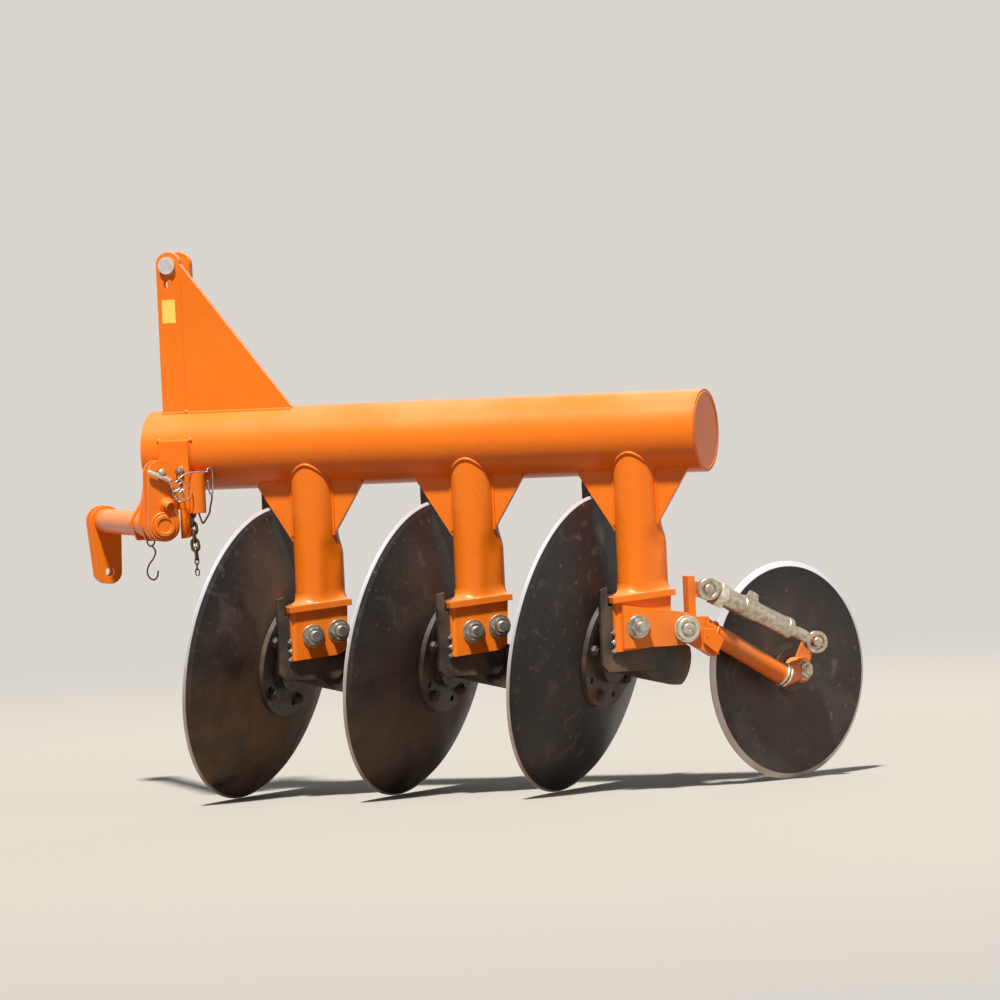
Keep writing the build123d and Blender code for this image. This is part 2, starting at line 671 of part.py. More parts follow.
# Furrow wheel's arm: yoke of two cheeks, cranked bar, block with the stub axle, lug and cross bar
wheel_axis, wheel_across = axle_vectors(WHEEL_TURN, 0)
wheel_centre = last_foot(WHEEL_BACK, WHEEL_OUT, WHEEL_RADIUS)
wheel_profile = Plane(
    origin=wheel_centre, x_dir=wheel_across, z_dir=wheel_across.cross(wheel_axis)
)


def wheel_face(left):
    return Plane(
        origin=wheel_centre + wheel_axis * left, x_dir=wheel_across, z_dir=wheel_axis
    )


bar_start = last_foot(*ARM_START)
bar_elbow = last_foot(*ARM_ELBOW)
bar_end = wheel_centre + wheel_axis * (AXLE_BLOCK_START + AXLE_BLOCK_END) / 2
with BuildPart() as wheel_arm:
    for start, radius in ((cheek_out, CHEEK_ROUND), (cheek_in, INNER_CHEEK_ROUND)):
        with BuildSketch(foot_face(last, start)):
            with Locations((PIVOT_BACK, PIVOT_Z)):
                Circle(radius)
            Polygon(*YOKE_OUTLINE, align=None)
            make_hull()
            with Locations((PIVOT_BACK, PIVOT_Z)):
                Circle(PIVOT_RADIUS + PIVOT_CLEARANCE, mode=Mode.SUBTRACT)
        extrude(amount=CHEEK_THICKNESS)
    with BuildSketch(foot_face(last, cheek_in)):
        Polygon(*YOKE_OUTLINE, align=None)
    extrude(amount=cheek_out + CHEEK_THICKNESS - cheek_in)
    for start, end in ((bar_start, bar_elbow), (bar_elbow, bar_end)):
        with BuildSketch(Plane(origin=start, z_dir=end - start)):
            Circle(ARM_BAR_RADIUS)
        extrude(amount=(end - start).length)
    with Locations(bar_elbow):
        Sphere(ARM_BAR_RADIUS)
    with BuildSketch(wheel_face(AXLE_BLOCK_START)):
        Circle(AXLE_BLOCK_RADIUS)
    extrude(amount=AXLE_BLOCK_END - AXLE_BLOCK_START)
    with BuildSketch(wheel_face(AXLE_BLOCK_START)):
        Circle(AXLE_RADIUS)
    extrude(amount=-AXLE_BLOCK_START - WHEEL_HUB_OUTER + 6)
    with BuildSketch(foot_face(last, LUG_OUT)):
        with Locations(LUG_FOOT, link_low_place):
            Circle(LUG_ROUND)
        make_hull()
    extrude(amount=-LUG_THICKNESS)
    with BuildSketch(foot_face(last, LUG_OUT)):
        with Locations(link_low_place):
            Circle(CROSS_BAR_RADIUS)
    extrude(amount=LINK_LOW[1] + LINK_EYE_WIDTH - LUG_OUT)
finish(wheel_arm.part, "wheel_arm")

with BuildPart() as furrow_wheel:
    with BuildSketch(wheel_profile):
        half = WHEEL_THICKNESS / 2
        flat = WHEEL_RADIUS - WHEEL_BEVEL
        Polygon(
            (WHEEL_HUB_RADIUS, -half),
            (WHEEL_RADIUS, -half),
            (WHEEL_RADIUS, WHEEL_EDGE - half),
            (flat, half),
            (WHEEL_HUB_RADIUS, half),
            align=None,
        )
    revolve(axis=Axis(wheel_centre, wheel_axis))
finish(furrow_wheel.part, "furrow_wheel")

with BuildPart() as wheel_hub:
    with BuildSketch(wheel_face(-WHEEL_HUB_OUTER)):
        Circle(WHEEL_HUB_RADIUS)
    extrude(amount=WHEEL_HUB_OUTER + WHEEL_HUB_INNER)
    with BuildSketch(wheel_face(WHEEL_HUB_INNER)):
        Circle(AXLE_RADIUS + SPINDLE_CLEARANCE)
    extrude(amount=-(WHEEL_HUB_INNER + WHEEL_HUB_OUTER - 5), mode=Mode.SUBTRACT)
finish(wheel_hub.part, "wheel_hub")

# Adjusting link: eye, neck and sleeve on the carrier's pin, rod and eye on the cross bar
link_top = last_foot(*LINK_TOP)
link_low = last_foot(*LINK_LOW)
link_way = (link_low - link_top).normalized()
link_length = (link_low - link_top).length


def link_section(distance):
    return Plane(origin=link_top + link_way * distance, z_dir=link_way)


with BuildPart() as link_sleeve:
    with BuildSketch(link_section(0)):
        Circle(LINK_NECK_RADIUS)
    extrude(amount=LINK_SLEEVE_START + 5)
    with BuildSketch(link_section(LINK_SLEEVE_START)):
        Circle(LINK_SLEEVE_RADIUS)
    extrude(amount=LINK_SLEEVE_END - LINK_SLEEVE_START)
    with BuildSketch(link_section(LINK_HOLLOW_START)):
        Circle(LINK_ROD_RADIUS + PIVOT_CLEARANCE)
    extrude(amount=LINK_SLEEVE_END - LINK_HOLLOW_START, mode=Mode.SUBTRACT)
    with BuildSketch(foot_face(last, LINK_TOP[1])):
        with Locations(link_top_place):
            Circle(LINK_EYE_ROUND)
    extrude(amount=LINK_EYE_WIDTH / 2, both=True)
    with BuildSketch(foot_face(last, LINK_TOP[1])):
        with Locations(link_top_place):
            Circle(CROSS_BAR_RADIUS + PIVOT_CLEARANCE)
    extrude(amount=2 * LINK_EYE_WIDTH, both=True, mode=Mode.SUBTRACT)
finish(link_sleeve.part, "link_sleeve")

with BuildPart() as link_rod:
    with BuildSketch(link_section(LINK_ROD_START)):
        Circle(LINK_ROD_RADIUS)
    extrude(amount=link_length - LINK_ROD_START - LINK_EYE_ROUND)
    with BuildSketch(link_section(link_length - LINK_EYE_ROUND - 5)):
        Circle(LINK_NECK_RADIUS)
    extrude(amount=LINK_EYE_ROUND)
    with BuildSketch(foot_face(last, LINK_LOW[1])):
        with Locations(link_low_place):
            Circle(LINK_EYE_ROUND)
    extrude(amount=LINK_EYE_WIDTH / 2, both=True)
    with BuildSketch(foot_face(last, LINK_LOW[1])):
        with Locations(link_low_place):
            Circle(CROSS_BAR_RADIUS + LINK_EYE_PLAY)
    extrude(amount=2 * LINK_EYE_WIDTH, both=True, mode=Mode.SUBTRACT)
finish(link_rod.part, "link_rod")
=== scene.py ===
import json
import math

import bmesh
import bpy
from mathutils import Matrix, Vector


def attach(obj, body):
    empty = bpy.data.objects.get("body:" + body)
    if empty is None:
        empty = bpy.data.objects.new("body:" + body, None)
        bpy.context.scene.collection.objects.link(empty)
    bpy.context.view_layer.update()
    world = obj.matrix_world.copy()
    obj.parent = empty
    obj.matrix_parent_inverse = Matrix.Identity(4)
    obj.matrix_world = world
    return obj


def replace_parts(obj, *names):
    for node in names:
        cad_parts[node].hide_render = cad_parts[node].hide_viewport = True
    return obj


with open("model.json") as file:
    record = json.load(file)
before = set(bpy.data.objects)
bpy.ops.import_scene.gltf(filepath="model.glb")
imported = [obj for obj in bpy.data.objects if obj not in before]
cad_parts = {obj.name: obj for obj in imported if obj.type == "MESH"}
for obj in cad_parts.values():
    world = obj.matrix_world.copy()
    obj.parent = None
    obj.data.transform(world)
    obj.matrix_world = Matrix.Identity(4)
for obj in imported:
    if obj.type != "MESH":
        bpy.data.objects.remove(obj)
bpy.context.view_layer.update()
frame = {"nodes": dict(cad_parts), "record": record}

# Floor, light and camera.
# A pale studio floor that fades into the background, a parallel key lamp high on the plough's left,
# a warm fill and a rim lamp, and a long lens that looks at the plough's left side.
BACKDROP = (0.7, 0.665, 0.615)
SEEN_FLOOR = (0.445, 0.43, 0.406)  # in full light this comes out as the backdrop's tone
UNLIT_FLOOR = (0.24, 0.145, 0.085)  # what the floor throws back on the plough
FADE_START, FADE_END = 2.4, 7.0  # from the plough's middle, where the floor turns into the backdrop
FLOOR_HALF, FLOOR_DROP = 14, 0.0006
AIR_TINT, AIR_STRENGTH = (0.9, 0.95, 1.0), 0.17
PHOTO_SCALE = 2.36 / 1000  # metres for each pixel of the photograph
PHOTO_WIDTH, SENSOR_WIDTH = 1000, 36
CAMERA_DISTANCE = 16
VIEW_TURN, VIEW_RISE, VIEW_ROLL = math.radians(75), math.radians(1.5), math.radians(2.6)
scene = bpy.context.scene
scene.view_settings.view_transform = "Standard"


def new_object(name, data):
    thing = bpy.data.objects.new(name, data)
    scene.collection.objects.link(thing)
    return thing


def new_finish(name):
    material = bpy.data.materials.new(name)
    material.use_nodes = True
    return material, material.node_tree, material.node_tree.nodes["Principled BSDF"]


def feed(tree, node, inputs):
    """Sets inputs to numbers, vectors, colours as tuples, or what other sockets put out."""
    for key, value in inputs.items():
        if isinstance(value, bpy.types.NodeSocket):
            tree.links.new(value, node.inputs[key])
        else:
            node.inputs[key].default_value = (*value, 1) if isinstance(value, tuple) else value


def add_node(tree, kind, inputs, **settings):
    node = tree.nodes.new(kind)
    for name, value in settings.items():
        setattr(node, name, value)
    feed(tree, node, inputs)
    return node


def combine(tree, operation, first, second):
    """Two sockets or numbers combined, held between 0 and 1."""
    node = add_node(tree, "ShaderNodeMath", {0: first, 1: second}, operation=operation, use_clamp=True)
    return node.outputs[0]


def product(tree, first, second):
    return combine(tree, "MULTIPLY", first, second)


def total(tree, first, second):
    return combine(tree, "ADD", first, second)


def vector_step(tree, operation, *vectors):
    """Vector arithmetic on sockets and fixed vectors."""
    return add_node(tree, "ShaderNodeVectorMath", dict(enumerate(vectors)), operation=operation)


def stretch(tree, value, low, high, start=0.0, end=1.0):
    """The value carried over from low..high to start..end, and held there."""
    ends = {"From Min": low, "From Max": high, "To Min": start, "To Max": end}
    return add_node(tree, "ShaderNodeMapRange", {"Value": value, **ends}).outputs["Result"]


def mix_colour(tree, amount, first, second):
    """Blend of two colours, each a tuple or a socket."""
    return add_node(tree, "ShaderNodeMix", {0: amount, 6: first, 7: second}, data_type="RGBA").outputs[2]


def own_place(tree):
    """The point's place in the piece's own space, which is the plough's."""
    return tree.nodes.new("ShaderNodeTexCoord").outputs["Object"]


def seen_directly(tree):
    """1 for camera, mirror and glass rays, 0 for the light that surfaces throw on each other."""
    path = tree.nodes.new("ShaderNodeLightPath").outputs
    seen = total(tree, path["Is Camera Ray"], path["Is Glossy Ray"])
    return total(tree, seen, path["Is Transmission Ray"])


def show_blend(tree, amount, first, second, output):
    """Sends a blend of two shaders to the output node."""
    blend = add_node(tree, "ShaderNodeMixShader", {0: amount, 1: first, 2: second})
    feed(tree, tree.nodes[output], {"Surface": blend.outputs["Shader"]})


def studio_surface(name):
    material, tree, shader = new_finish(name)
    tint = mix_colour(tree, seen_directly(tree), UNLIT_FLOOR, SEEN_FLOOR)
    feed(tree, shader, {"Base Color": tint, "Roughness": 0.9, "Specular IOR Level": 0.1})
    away = vector_step(tree, "LENGTH", own_place(tree)).outputs["Value"]
    fade = stretch(tree, away, FADE_START, FADE_END)
    fade.node.interpolation_type = "SMOOTHSTEP"
    glow = add_node(tree, "ShaderNodeEmission", {"Color": BACKDROP})
    amount = product(tree, fade, seen_directly(tree))
    show_blend(tree, amount, shader.outputs["BSDF"], glow.outputs["Emission"], "Material Output")
    return material


floor_mesh = bpy.data.meshes.new("studio_floor")
floor_corners = [(x * FLOOR_HALF, y * FLOOR_HALF, 0) for x, y in ((-1, -1), (1, -1), (1, 1), (-1, 1))]
floor_mesh.from_pydata(floor_corners, [], [(0, 1, 2, 3)])
studio_floor = new_object("studio_floor", floor_mesh)
studio_floor.location.z = -FLOOR_DROP
floor_mesh.materials.append(studio_surface("studio_floor"))

world = bpy.data.worlds.new("studio_air")
scene.world = world
world.use_nodes = True
air_tree = world.node_tree
air = air_tree.nodes["Background"]
feed(air_tree, air, {"Color": AIR_TINT, "Strength": AIR_STRENGTH})
backdrop = add_node(air_tree, "ShaderNodeBackground", {"Color": BACKDROP})
air_shaders = air.outputs["Background"], backdrop.outputs["Background"]
show_blend(air_tree, seen_directly(air_tree), *air_shaders, "World Output")


def place_lamp(lamp, place, target, strength, tint):
    """Puts a lamp at place, shining on target."""
    lamp.energy = strength
    lamp.color = tint
    holder = new_object(lamp.name, lamp)
    holder.location = place
    holder.rotation_euler = (Vector(target) - Vector(place)).to_track_quat("-Z", "Y").to_euler()


def disc_lamp(name, place, strength, tint):
    lamp = bpy.data.lights.new(name, "AREA")
    lamp.shape = "DISK"
    lamp.size = 3.0
    place_lamp(lamp, place, target=(0, 0, 0.6), strength=strength, tint=tint)


key_lamp = bpy.data.lights.new("key_lamp", "SUN")
key_lamp.angle = math.radians(5)
place_lamp(key_lamp, (2.2, 3.4, 8.6), target=(0, 0, 0.5), strength=5.5, tint=(1.0, 0.955, 0.87))
disc_lamp("fill_lamp", (-3.6, 3.4, 1.9), strength=26, tint=(1.0, 0.9, 0.8))
disc_lamp("rim_lamp", (-2.5, -4.0, 3.6), strength=22, tint=(1.0, 0.98, 0.95))


def aim_camera(mark, column, row):
    """Long lens from the plough's left, with the mark in that column and row of the photograph."""
    level = math.cos(VIEW_RISE)
    back = Vector((math.cos(VIEW_TURN) * level, math.sin(VIEW_TURN) * level, math.sin(VIEW_RISE)))
    right = Vector((-math.sin(VIEW_TURN), math.cos(VIEW_TURN), 0))
    roll = Matrix.Rotation(-VIEW_ROLL, 3, back)
    image_right, image_up = roll @ right, roll @ back.cross(right)
    half = PHOTO_WIDTH / 2
    middle = mark + image_right * (half - column) * PHOTO_SCALE + image_up * (row - half) * PHOTO_SCALE
    lens = bpy.data.cameras.new("photo_camera")
    lens.sensor_width = SENSOR_WIDTH
    lens.lens = SENSOR_WIDTH * CAMERA_DISTANCE / (PHOTO_WIDTH * PHOTO_SCALE)
    scene.camera = new_object("photo_camera", lens)
    turned = Matrix((image_right, image_up, back)).transposed().to_4x4()
    scene.camera.matrix_world = Matrix.Translation(middle + back * CAMERA_DISTANCE) @ turned


# Beam: rolled steel tube of 194 mm, sprayed orange, closed by a welded plate at each end.
# The paint is a glossy enamel with field dust where it sits low, and a pale film on whatever faces up that
# is partly dust and partly a painted sheen.
BEAM_TURN = math.radians(35)
BEAM_RADIUS, BEAM_HEIGHT, BEAM_LENGTH = 0.09685, 0.838, 1.39
FIRST_LEG, LEG_SIDE = 0.41, 0.036  # from the beam's front end, and left of its axis
DISC_AHEAD, DISC_RIGHT = 0.1169, 0.1362  # of the leg
MARK_STATION, MARK_COLUMN, MARK_ROW = 0.8265, 479, 439  # a spot on the axis, and where the photo has it
CAP_INSET, CAP_SET_BACK = 0.0085, 0.001  # of the cap's bead from the tube's skin and from its end
joints = {joint["name"]: joint for joint in frame["record"]["behaviour"]["joints"]}
disc_joints = [joints[f"disc_{unit}_spin"] for unit in (1, 2, 3)]
disc_centres = [Vector(joint["pos_m"]) for joint in disc_joints]
disc_back = Vector(disc_joints[0]["axis"]).normalized()
beam_back = Vector((-math.cos(BEAM_TURN), math.sin(BEAM_TURN), 0))
beam_left = Vector((math.sin(BEAM_TURN), math.cos(BEAM_TURN), 0))
rise = Vector((0, 0, 1))
leg_feet = [centre - Vector((DISC_AHEAD, -DISC_RIGHT, centre.z)) for centre in disc_centres]
beam_front = leg_feet[0] - beam_back * FIRST_LEG - beam_left * LEG_SIDE + rise * BEAM_HEIGHT
aim_camera(beam_front + beam_back * MARK_STATION, MARK_COLUMN, MARK_ROW)


def add_noise(tree, scale, detail, low, high, distortion=0.0):
    """Noise in the piece's own space, stretched to 0..1 between low and high."""
    look = {"Scale": scale, "Detail": detail, "Distortion": distortion, "Vector": own_place(tree)}
    noise = add_node(tree, "ShaderNodeTexNoise", look)
    return stretch(tree, noise.outputs["Fac"], low, high)


def height_fade(tree, low, high):
    """1 at height low and below, 0 at height high and above."""
    parts = add_node(tree, "ShaderNodeSeparateXYZ", {"Vector": own_place(tree)})
    return stretch(tree, parts.outputs["Z"], high, low)


def add_bump(tree, shader, height, strength, distance):
    look = {"Height": height, "Strength": strength, "Distance": distance}
    bump = add_node(tree, "ShaderNodeBump", look)
    feed(tree, shader, {"Normal": bump.outputs["Normal"]})
    return bump


def soften_edges(tree, shader, height, strength, distance, radius):
    """Bump over the rounding that sprayed and cast edges have."""
    rounding = add_node(tree, "ShaderNodeBevel", {"Radius": radius}, samples=4)
    bump = add_bump(tree, shader, height, strength, distance)
    feed(tree, bump, {"Normal": rounding.outputs["Normal"]})


# the pale tone on upward faces is partly dust and partly a painted sheen of the light from above
FIELD_DUST, PALE_DUST_AND_SHEEN = (0.42, 0.25, 0.13), (0.8, 0.5, 0.27)
DEEP_ORANGE, BRIGHT_ORANGE, SCUFFED = (0.86, 0.19, 0.007), (0.93, 0.218, 0.009), (0.36, 0.085, 0.02)
TOP_DUST_AND_SHEEN = 0.3  # share of the paint that dust and a painted sheen hide where it faces straight up


def orange_enamel(name, dust_top, dust_amount, scuff_amount):
    """Orange paint with dust below dust_top, a pale film on top that is dust and a painted sheen, specks
    and scuffs.
    """
    material, tree, shader = new_finish(name)
    tone = mix_colour(tree, add_noise(tree, 2.5, 4, 0.35, 0.7), DEEP_ORANGE, BRIGHT_ORANGE)
    low_dust = product(tree, height_fade(tree, 0.2, dust_top), add_noise(tree, 9, 8, 0.4, 0.72))
    specks = product(tree, add_noise(tree, 150, 4, 0.62, 0.74), 0.45)
    dust = product(tree, total(tree, low_dust, specks), dust_amount)
    facing = tree.nodes.new("ShaderNodeNewGeometry").outputs["Normal"]
    upward = add_node(tree, "ShaderNodeSeparateXYZ", {"Vector": facing}).outputs["Z"]
    # upward faces turn pale: partly settled dust, partly a painted sheen of the light from above
    film = stretch(tree, upward, 0.25, 0.85, 0.0, TOP_DUST_AND_SHEEN)
    settled_dust_and_sheen = product(tree, film, add_noise(tree, 5, 6, 0.2, 0.55))
    scuffs = product(tree, add_noise(tree, 70, 5, 0.66, 0.72, 0.2), scuff_amount)
    worn = mix_colour(tree, scuffs, mix_colour(tree, settled_dust_and_sheen, tone, PALE_DUST_AND_SHEEN), SCUFFED)
    look = {
        "Base Color": mix_colour(tree, dust, worn, FIELD_DUST),
        "Roughness": stretch(tree, total(tree, dust, scuffs), 0.0, 1.0, 0.33, 0.8),
        "Specular IOR Level": 0.36,
        "Coat Weight": 0.06,
        "Coat Roughness": 0.2,
    }
    feed(tree, shader, look)
    soften_edges(tree, shader, add_noise(tree, 48, 2, 0.3, 0.7), 0.12, 0.0012, 0.002)
    return material


def finish_nodes(material, *nodes):
    for node in nodes:
        materials = frame["nodes"][node].data.materials
        materials.clear()
        materials.append(material)


enamel = orange_enamel("orange_enamel", 0.55, 0.5, 0.25)
finish_nodes(enamel, "beam_tube", "beam_cap_front", "beam_cap_rear")


def add_piece(name, form, material, body="frame", smooth=True):
    """A piece in the plough's own space that rides on a body."""
    bmesh.ops.recalc_face_normals(form, faces=form.faces)
    mesh = bpy.data.meshes.new(name)
    form.to_mesh(mesh)
    form.free()
    mesh.materials.append(material)
    for face in mesh.polygons:
        face.use_smooth = smooth
    piece = new_object(name, mesh)
    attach(piece, body)
    return piece


def frame_at(origin, axis, up=rise):
    """Matrix with local Z along axis and local Y near up."""
    z = axis.normalized()
    x = up.cross(z)
    if x.length < 1e-4:
        x = Vector((1, 0, 0)).cross(z)
    x.normalize()
    turned = Matrix((x, z.cross(x), z)).transposed().to_4x4()
    return Matrix.Translation(origin) @ turned


def turns(count):
    """The angles of equal steps once round."""
    return [2 * math.pi * step / count for step in range(count)]


def circle_point(place, radius, angle, height=0.0):
    """A point round the local Z axis of place."""
    return place @ Vector((radius * math.cos(angle), radius * math.sin(angle), height))


def circle_path(centre, axis, radius):
    place = frame_at(centre, axis)
    return [circle_point(place, radius, angle) for angle in turns(64)]


def neighbours(items, looped):
    """Each item with the next, and the last with the first where looped."""
    return zip(items, items[1:] + items[:1] if looped else items[1:])


def join_rings(form, rings, looped=False, capped=True):
    """Skin over rings of corners, with both ends filled where it is capped."""
    sides = len(rings[0])
    for first, second in neighbours(rings, looped):
        for k in range(sides):
            form.faces.new((first[k], first[(k + 1) % sides], second[(k + 1) % sides], second[k]))
    if capped and not looped:
        form.faces.new(rings[0])
        form.faces.new(rings[-1])


def sweep_ring(form, points, radii, closed, sides):
    """Tube along points, with one radius or one for each point."""
    rings = []
    count = len(points)
    keep = None
    for index, point in enumerate(points):
        before = points[index - 1] if (index or closed) else point
        after = points[(index + 1) % count] if (index < count - 1 or closed) else point
        way = (after - before).normalized()
        if keep is None:
            keep = way.orthogonal().normalized()
        keep = (keep - way * keep.dot(way)).normalized()
        side = way.cross(keep)
        radius = radii[index] if isinstance(radii, list) else radii
        outward = [keep * math.cos(angle) + side * math.sin(angle) for angle in turns(sides)]
        rings.append([form.verts.new(point + way_out * radius) for way_out in outward])
    join_rings(form, rings, looped=closed)


RIPPLE_PITCH, RIPPLE_VALLEY, RIPPLE_CREST = 0.55, 0.92, 1.06  # shares of a bead's size


def weld_bead(name, path, size, closed=False, body="frame", material=enamel):
    """Bead along a seam, rippled as a hand-laid run is."""
    spaced = []
    for start, end in neighbours(path, closed):
        steps = max(1, int((end - start).length / (size * RIPPLE_PITCH)))
        spaced += [start.lerp(end, step / steps) for step in range(steps)]
    if not closed:
        spaced.append(path[-1])
    radii = [size * (RIPPLE_VALLEY if index % 2 else RIPPLE_CREST) for index in range(len(spaced))]
    form = bmesh.new()
    sweep_ring(form, spaced, radii, closed, sides=8)
    add_piece(name, form, material, body)


for end, station in (("front", CAP_SET_BACK), ("rear", BEAM_LENGTH - CAP_SET_BACK)):
    cap_edge = circle_path(beam_front + beam_back * station, beam_back, BEAM_RADIUS - CAP_INSET)
    weld_bead(f"beam_weld_{end}", cap_edge, size=0.003, closed=True)

# Legs and gussets: a round tube under the beam, pressed wide and flat low down, with two flat triangles.
# All of it is welded to the beam before spraying, so the beads carry the same enamel.
LEG_RADIUS, LEG_SHIFT = 0.054, 0.006
GUSSET_FACE, GUSSET_REACH, GUSSET_BOTTOM = 0.048, 0.133, 0.612
COLLAR_TOP = 0.466
PRESS_START, PRESS_END = 0.632, 0.58  # heights between which the tube turns flat
PRESSED_WIDTH, PRESSED_DEPTH, PRESSED_CORNER = 0.062, 0.0495, 2.8  # the last is 2 for an oval
PRESS_EDGE, PRESS_FULL = -0.35, 0.45  # cosines of the angle from the rear, where it sets in and is full
DENT_HEIGHT, DENT_ANGLE, DENT_DEPTH = 0.58, math.radians(50), 0.004
DENT_WIDTH, DENT_LENGTH = 0.3, 0.032  # radians round the leg and metres along it
BEAD_STOP, BEAD_GAP, BEAD_FOOT = 0.006, 0.0015, 0.012  # from the gusset's tip, leg and lower corner
FOOT_TURN, FOOT_LEAN = math.radians(92), math.radians(4.5)
SUNK = 0.001  # how far the leg's ends run into what they meet
foot_out = Vector((math.cos(FOOT_TURN), math.sin(FOOT_TURN), 0))
foot_rear = rise.cross(foot_out)
lean_rear = foot_rear * math.cos(FOOT_LEAN) + rise * math.sin(FOOT_LEAN)
lean_up = foot_out.cross(lean_rear)


def under_beam(point):
    """The spot on the beam's underside straight above a point."""
    side = (point - beam_front).dot(beam_left)
    return Vector((point.x, point.y, BEAM_HEIGHT - math.sqrt(BEAM_RADIUS**2 - side**2)))


def ease(value, low, high):
    share = min(max((value - low) / (high - low), 0.0), 1.0)
    return share * share * (3 - 2 * share)


def leg_radius(angle, height):
    """Round above, pressed flat on its rear half below; the angle runs from the rear to the outside."""
    angle = math.remainder(angle, 2 * math.pi)
    along = abs(math.cos(angle) / PRESSED_WIDTH) ** PRESSED_CORNER
    across = abs(math.sin(angle) / PRESSED_DEPTH) ** PRESSED_CORNER
    flat = (along + across) ** (-1 / PRESSED_CORNER)
    pressed = ease(math.cos(angle), PRESS_EDGE, PRESS_FULL) * (1 - ease(height, PRESS_END, PRESS_START))
    aside, above = (angle - DENT_ANGLE) / DENT_WIDTH, (height - DENT_HEIGHT) / DENT_LENGTH
    dent = math.exp(-(aside**2) - above**2)
    return LEG_RADIUS + (flat - LEG_RADIUS) * pressed - DENT_DEPTH * dent


def pressed_leg(name, foot):
    """Tube skin from the collar up to the beam's underside."""
    levels = 64
    axis = foot + foot_rear * LEG_SHIFT
    form = bmesh.new()
    rings = []
    for level in range(levels + 1):
        ring = []
        for angle in turns(96):
            way = foot_rear * math.cos(angle) + foot_out * math.sin(angle)
            low = COLLAR_TOP + LEG_RADIUS * math.cos(angle) * math.tan(FOOT_LEAN) - SUNK
            high = under_beam(axis + way * LEG_RADIUS).z + SUNK
            height = low + (high - low) * level / levels
            spot = axis + way * leg_radius(angle, height)
            ring.append(form.verts.new((spot.x, spot.y, height)))
        rings.append(ring)
    join_rings(form, rings)
    return add_piece(name, form, enamel)


for unit, foot in enumerate(leg_feet, 1):
    finish_nodes(enamel, f"gusset_front_{unit}", f"gusset_rear_{unit}", f"foot_{unit}")
    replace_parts(pressed_leg(f"pressed_leg_{unit}", foot), f"leg_{unit}")
    axis = foot + foot_rear * LEG_SHIFT
    seam = []
    for angle in turns(48):
        way = beam_back * math.cos(angle) + beam_left * math.sin(angle)
        seam.append(under_beam(axis + way * LEG_RADIUS))
    weld_bead(f"leg_weld_{unit}", seam, size=0.0042, closed=True)
    across = GUSSET_FACE - (axis - beam_front).dot(beam_left)
    along = math.sqrt(LEG_RADIUS**2 - across**2)
    for name, way in (("front", -beam_back), ("rear", beam_back)):
        base = axis + beam_left * across
        outer = under_beam(base + way * (GUSSET_REACH - BEAD_STOP))
        corner = under_beam(base + way * (along + BEAD_GAP))
        low = Vector((corner.x, corner.y, GUSSET_BOTTOM + BEAD_FOOT))
        path = [outer, outer.lerp(corner, 0.5), corner, low]
        weld_bead(f"gusset_weld_{name}_{unit}", path, size=0.0032)

# Feet: collar plate and folded plate under each leg, with two long bolts through the hub's bracket.
# Nuts and plate washers are zinc-plated; three small screws hold the scraper's bar at the front edge.
FOOT_FACE, FOOT_EDGE = 0.05, -0.078
COLLAR_CORNERS = ((-0.084, 0.06), (0.07, 0.06), (0.07, -0.056), (-0.016, -0.056), (-0.084, 0.014))
FOOT_BOLTS = ((-0.026, 0.389), (0.038, 0.398))
EDGE_SCREWS, EDGE_SCREW_OUT = (0.377, 0.355, 0.3345), 0.041
CARRIER_THICKNESS = 0.014  # of the wheel's carrier, which lies on the last foot
THREAD_PITCH, THREAD_DEPTH = 0.0022, 0.0009
THREAD_SUNK, THREAD_RUNOUT, THREAD_POINT = 0.002, 0.0016, 0.0015
CORNER_SLOPE, CROWN_SHARE = 0.6, 0.97  # of a nut's turned-off corners
WASHER_EDGE, NO_WASHER = 0.0006, (0, 0.0)
FOOT_NUT = dict(across=0.0385, nut=0.019, shank=0.0125, proud=0.016, washer=(0.027, 0.005))
EDGE_NUT = dict(across=0.011, nut=0.0045, shank=0.003, proud=0.004, washer=NO_WASHER)


def plated_steel(name, light, dark):
    material, tree, shader = new_finish(name)
    tone = mix_colour(tree, add_noise(tree, 90, 5, 0.3, 0.75), light, dark)
    dust = product(tree, add_noise(tree, 45, 6, 0.5, 0.8), 0.5)
    rough = total(tree, product(tree, dust, 0.6), 0.32)
    colour = mix_colour(tree, dust, tone, FIELD_DUST)
    feed(tree, shader, {"Base Color": colour, "Metallic": 0.85, "Roughness": rough})
    add_bump(tree, shader, add_noise(tree, 400, 3, 0.3, 0.7), 0.15, 0.0004)
    return material


zinc = plated_steel("zinc_plate", (0.8, 0.78, 0.68), (0.56, 0.51, 0.38))
nut_zinc = plated_steel("nut_zinc", (0.58, 0.57, 0.53), (0.3, 0.27, 0.22))
dull_zinc = plated_steel("dull_zinc", (0.66, 0.61, 0.53), (0.36, 0.29, 0.21))


def lathe(form, place, profile, sides, ring_shaped=False):
    """Turned solid or ring: the profile lists radius and height round the local Z axis of place."""
    rings = []
    for radius, height in profile:
        ring = [circle_point(place, radius, angle, height) for angle in turns(sides)]
        rings.append([form.verts.new(point) for point in ring])
    join_rings(form, rings, looped=ring_shaped)


def hexagon(form, place, across, low, high):
    """Hexagon with turned-off corners, as nuts and bolt heads have."""
    flat = across / 2
    chamfer = (flat / math.cos(math.pi / 6) - flat) * CORNER_SLOPE
    rings = []
    for height, turned in ((low, True), (low + chamfer, False), (high - chamfer, False), (high, True)):
        ring = []
        for angle in turns(24):
            from_flat = angle % (math.pi / 3) - math.pi / 6
            reach = flat * CROWN_SHARE if turned else flat / math.cos(from_flat)
            ring.append(form.verts.new(circle_point(place, reach, angle, height)))
        rings.append(ring)
    join_rings(form, rings)


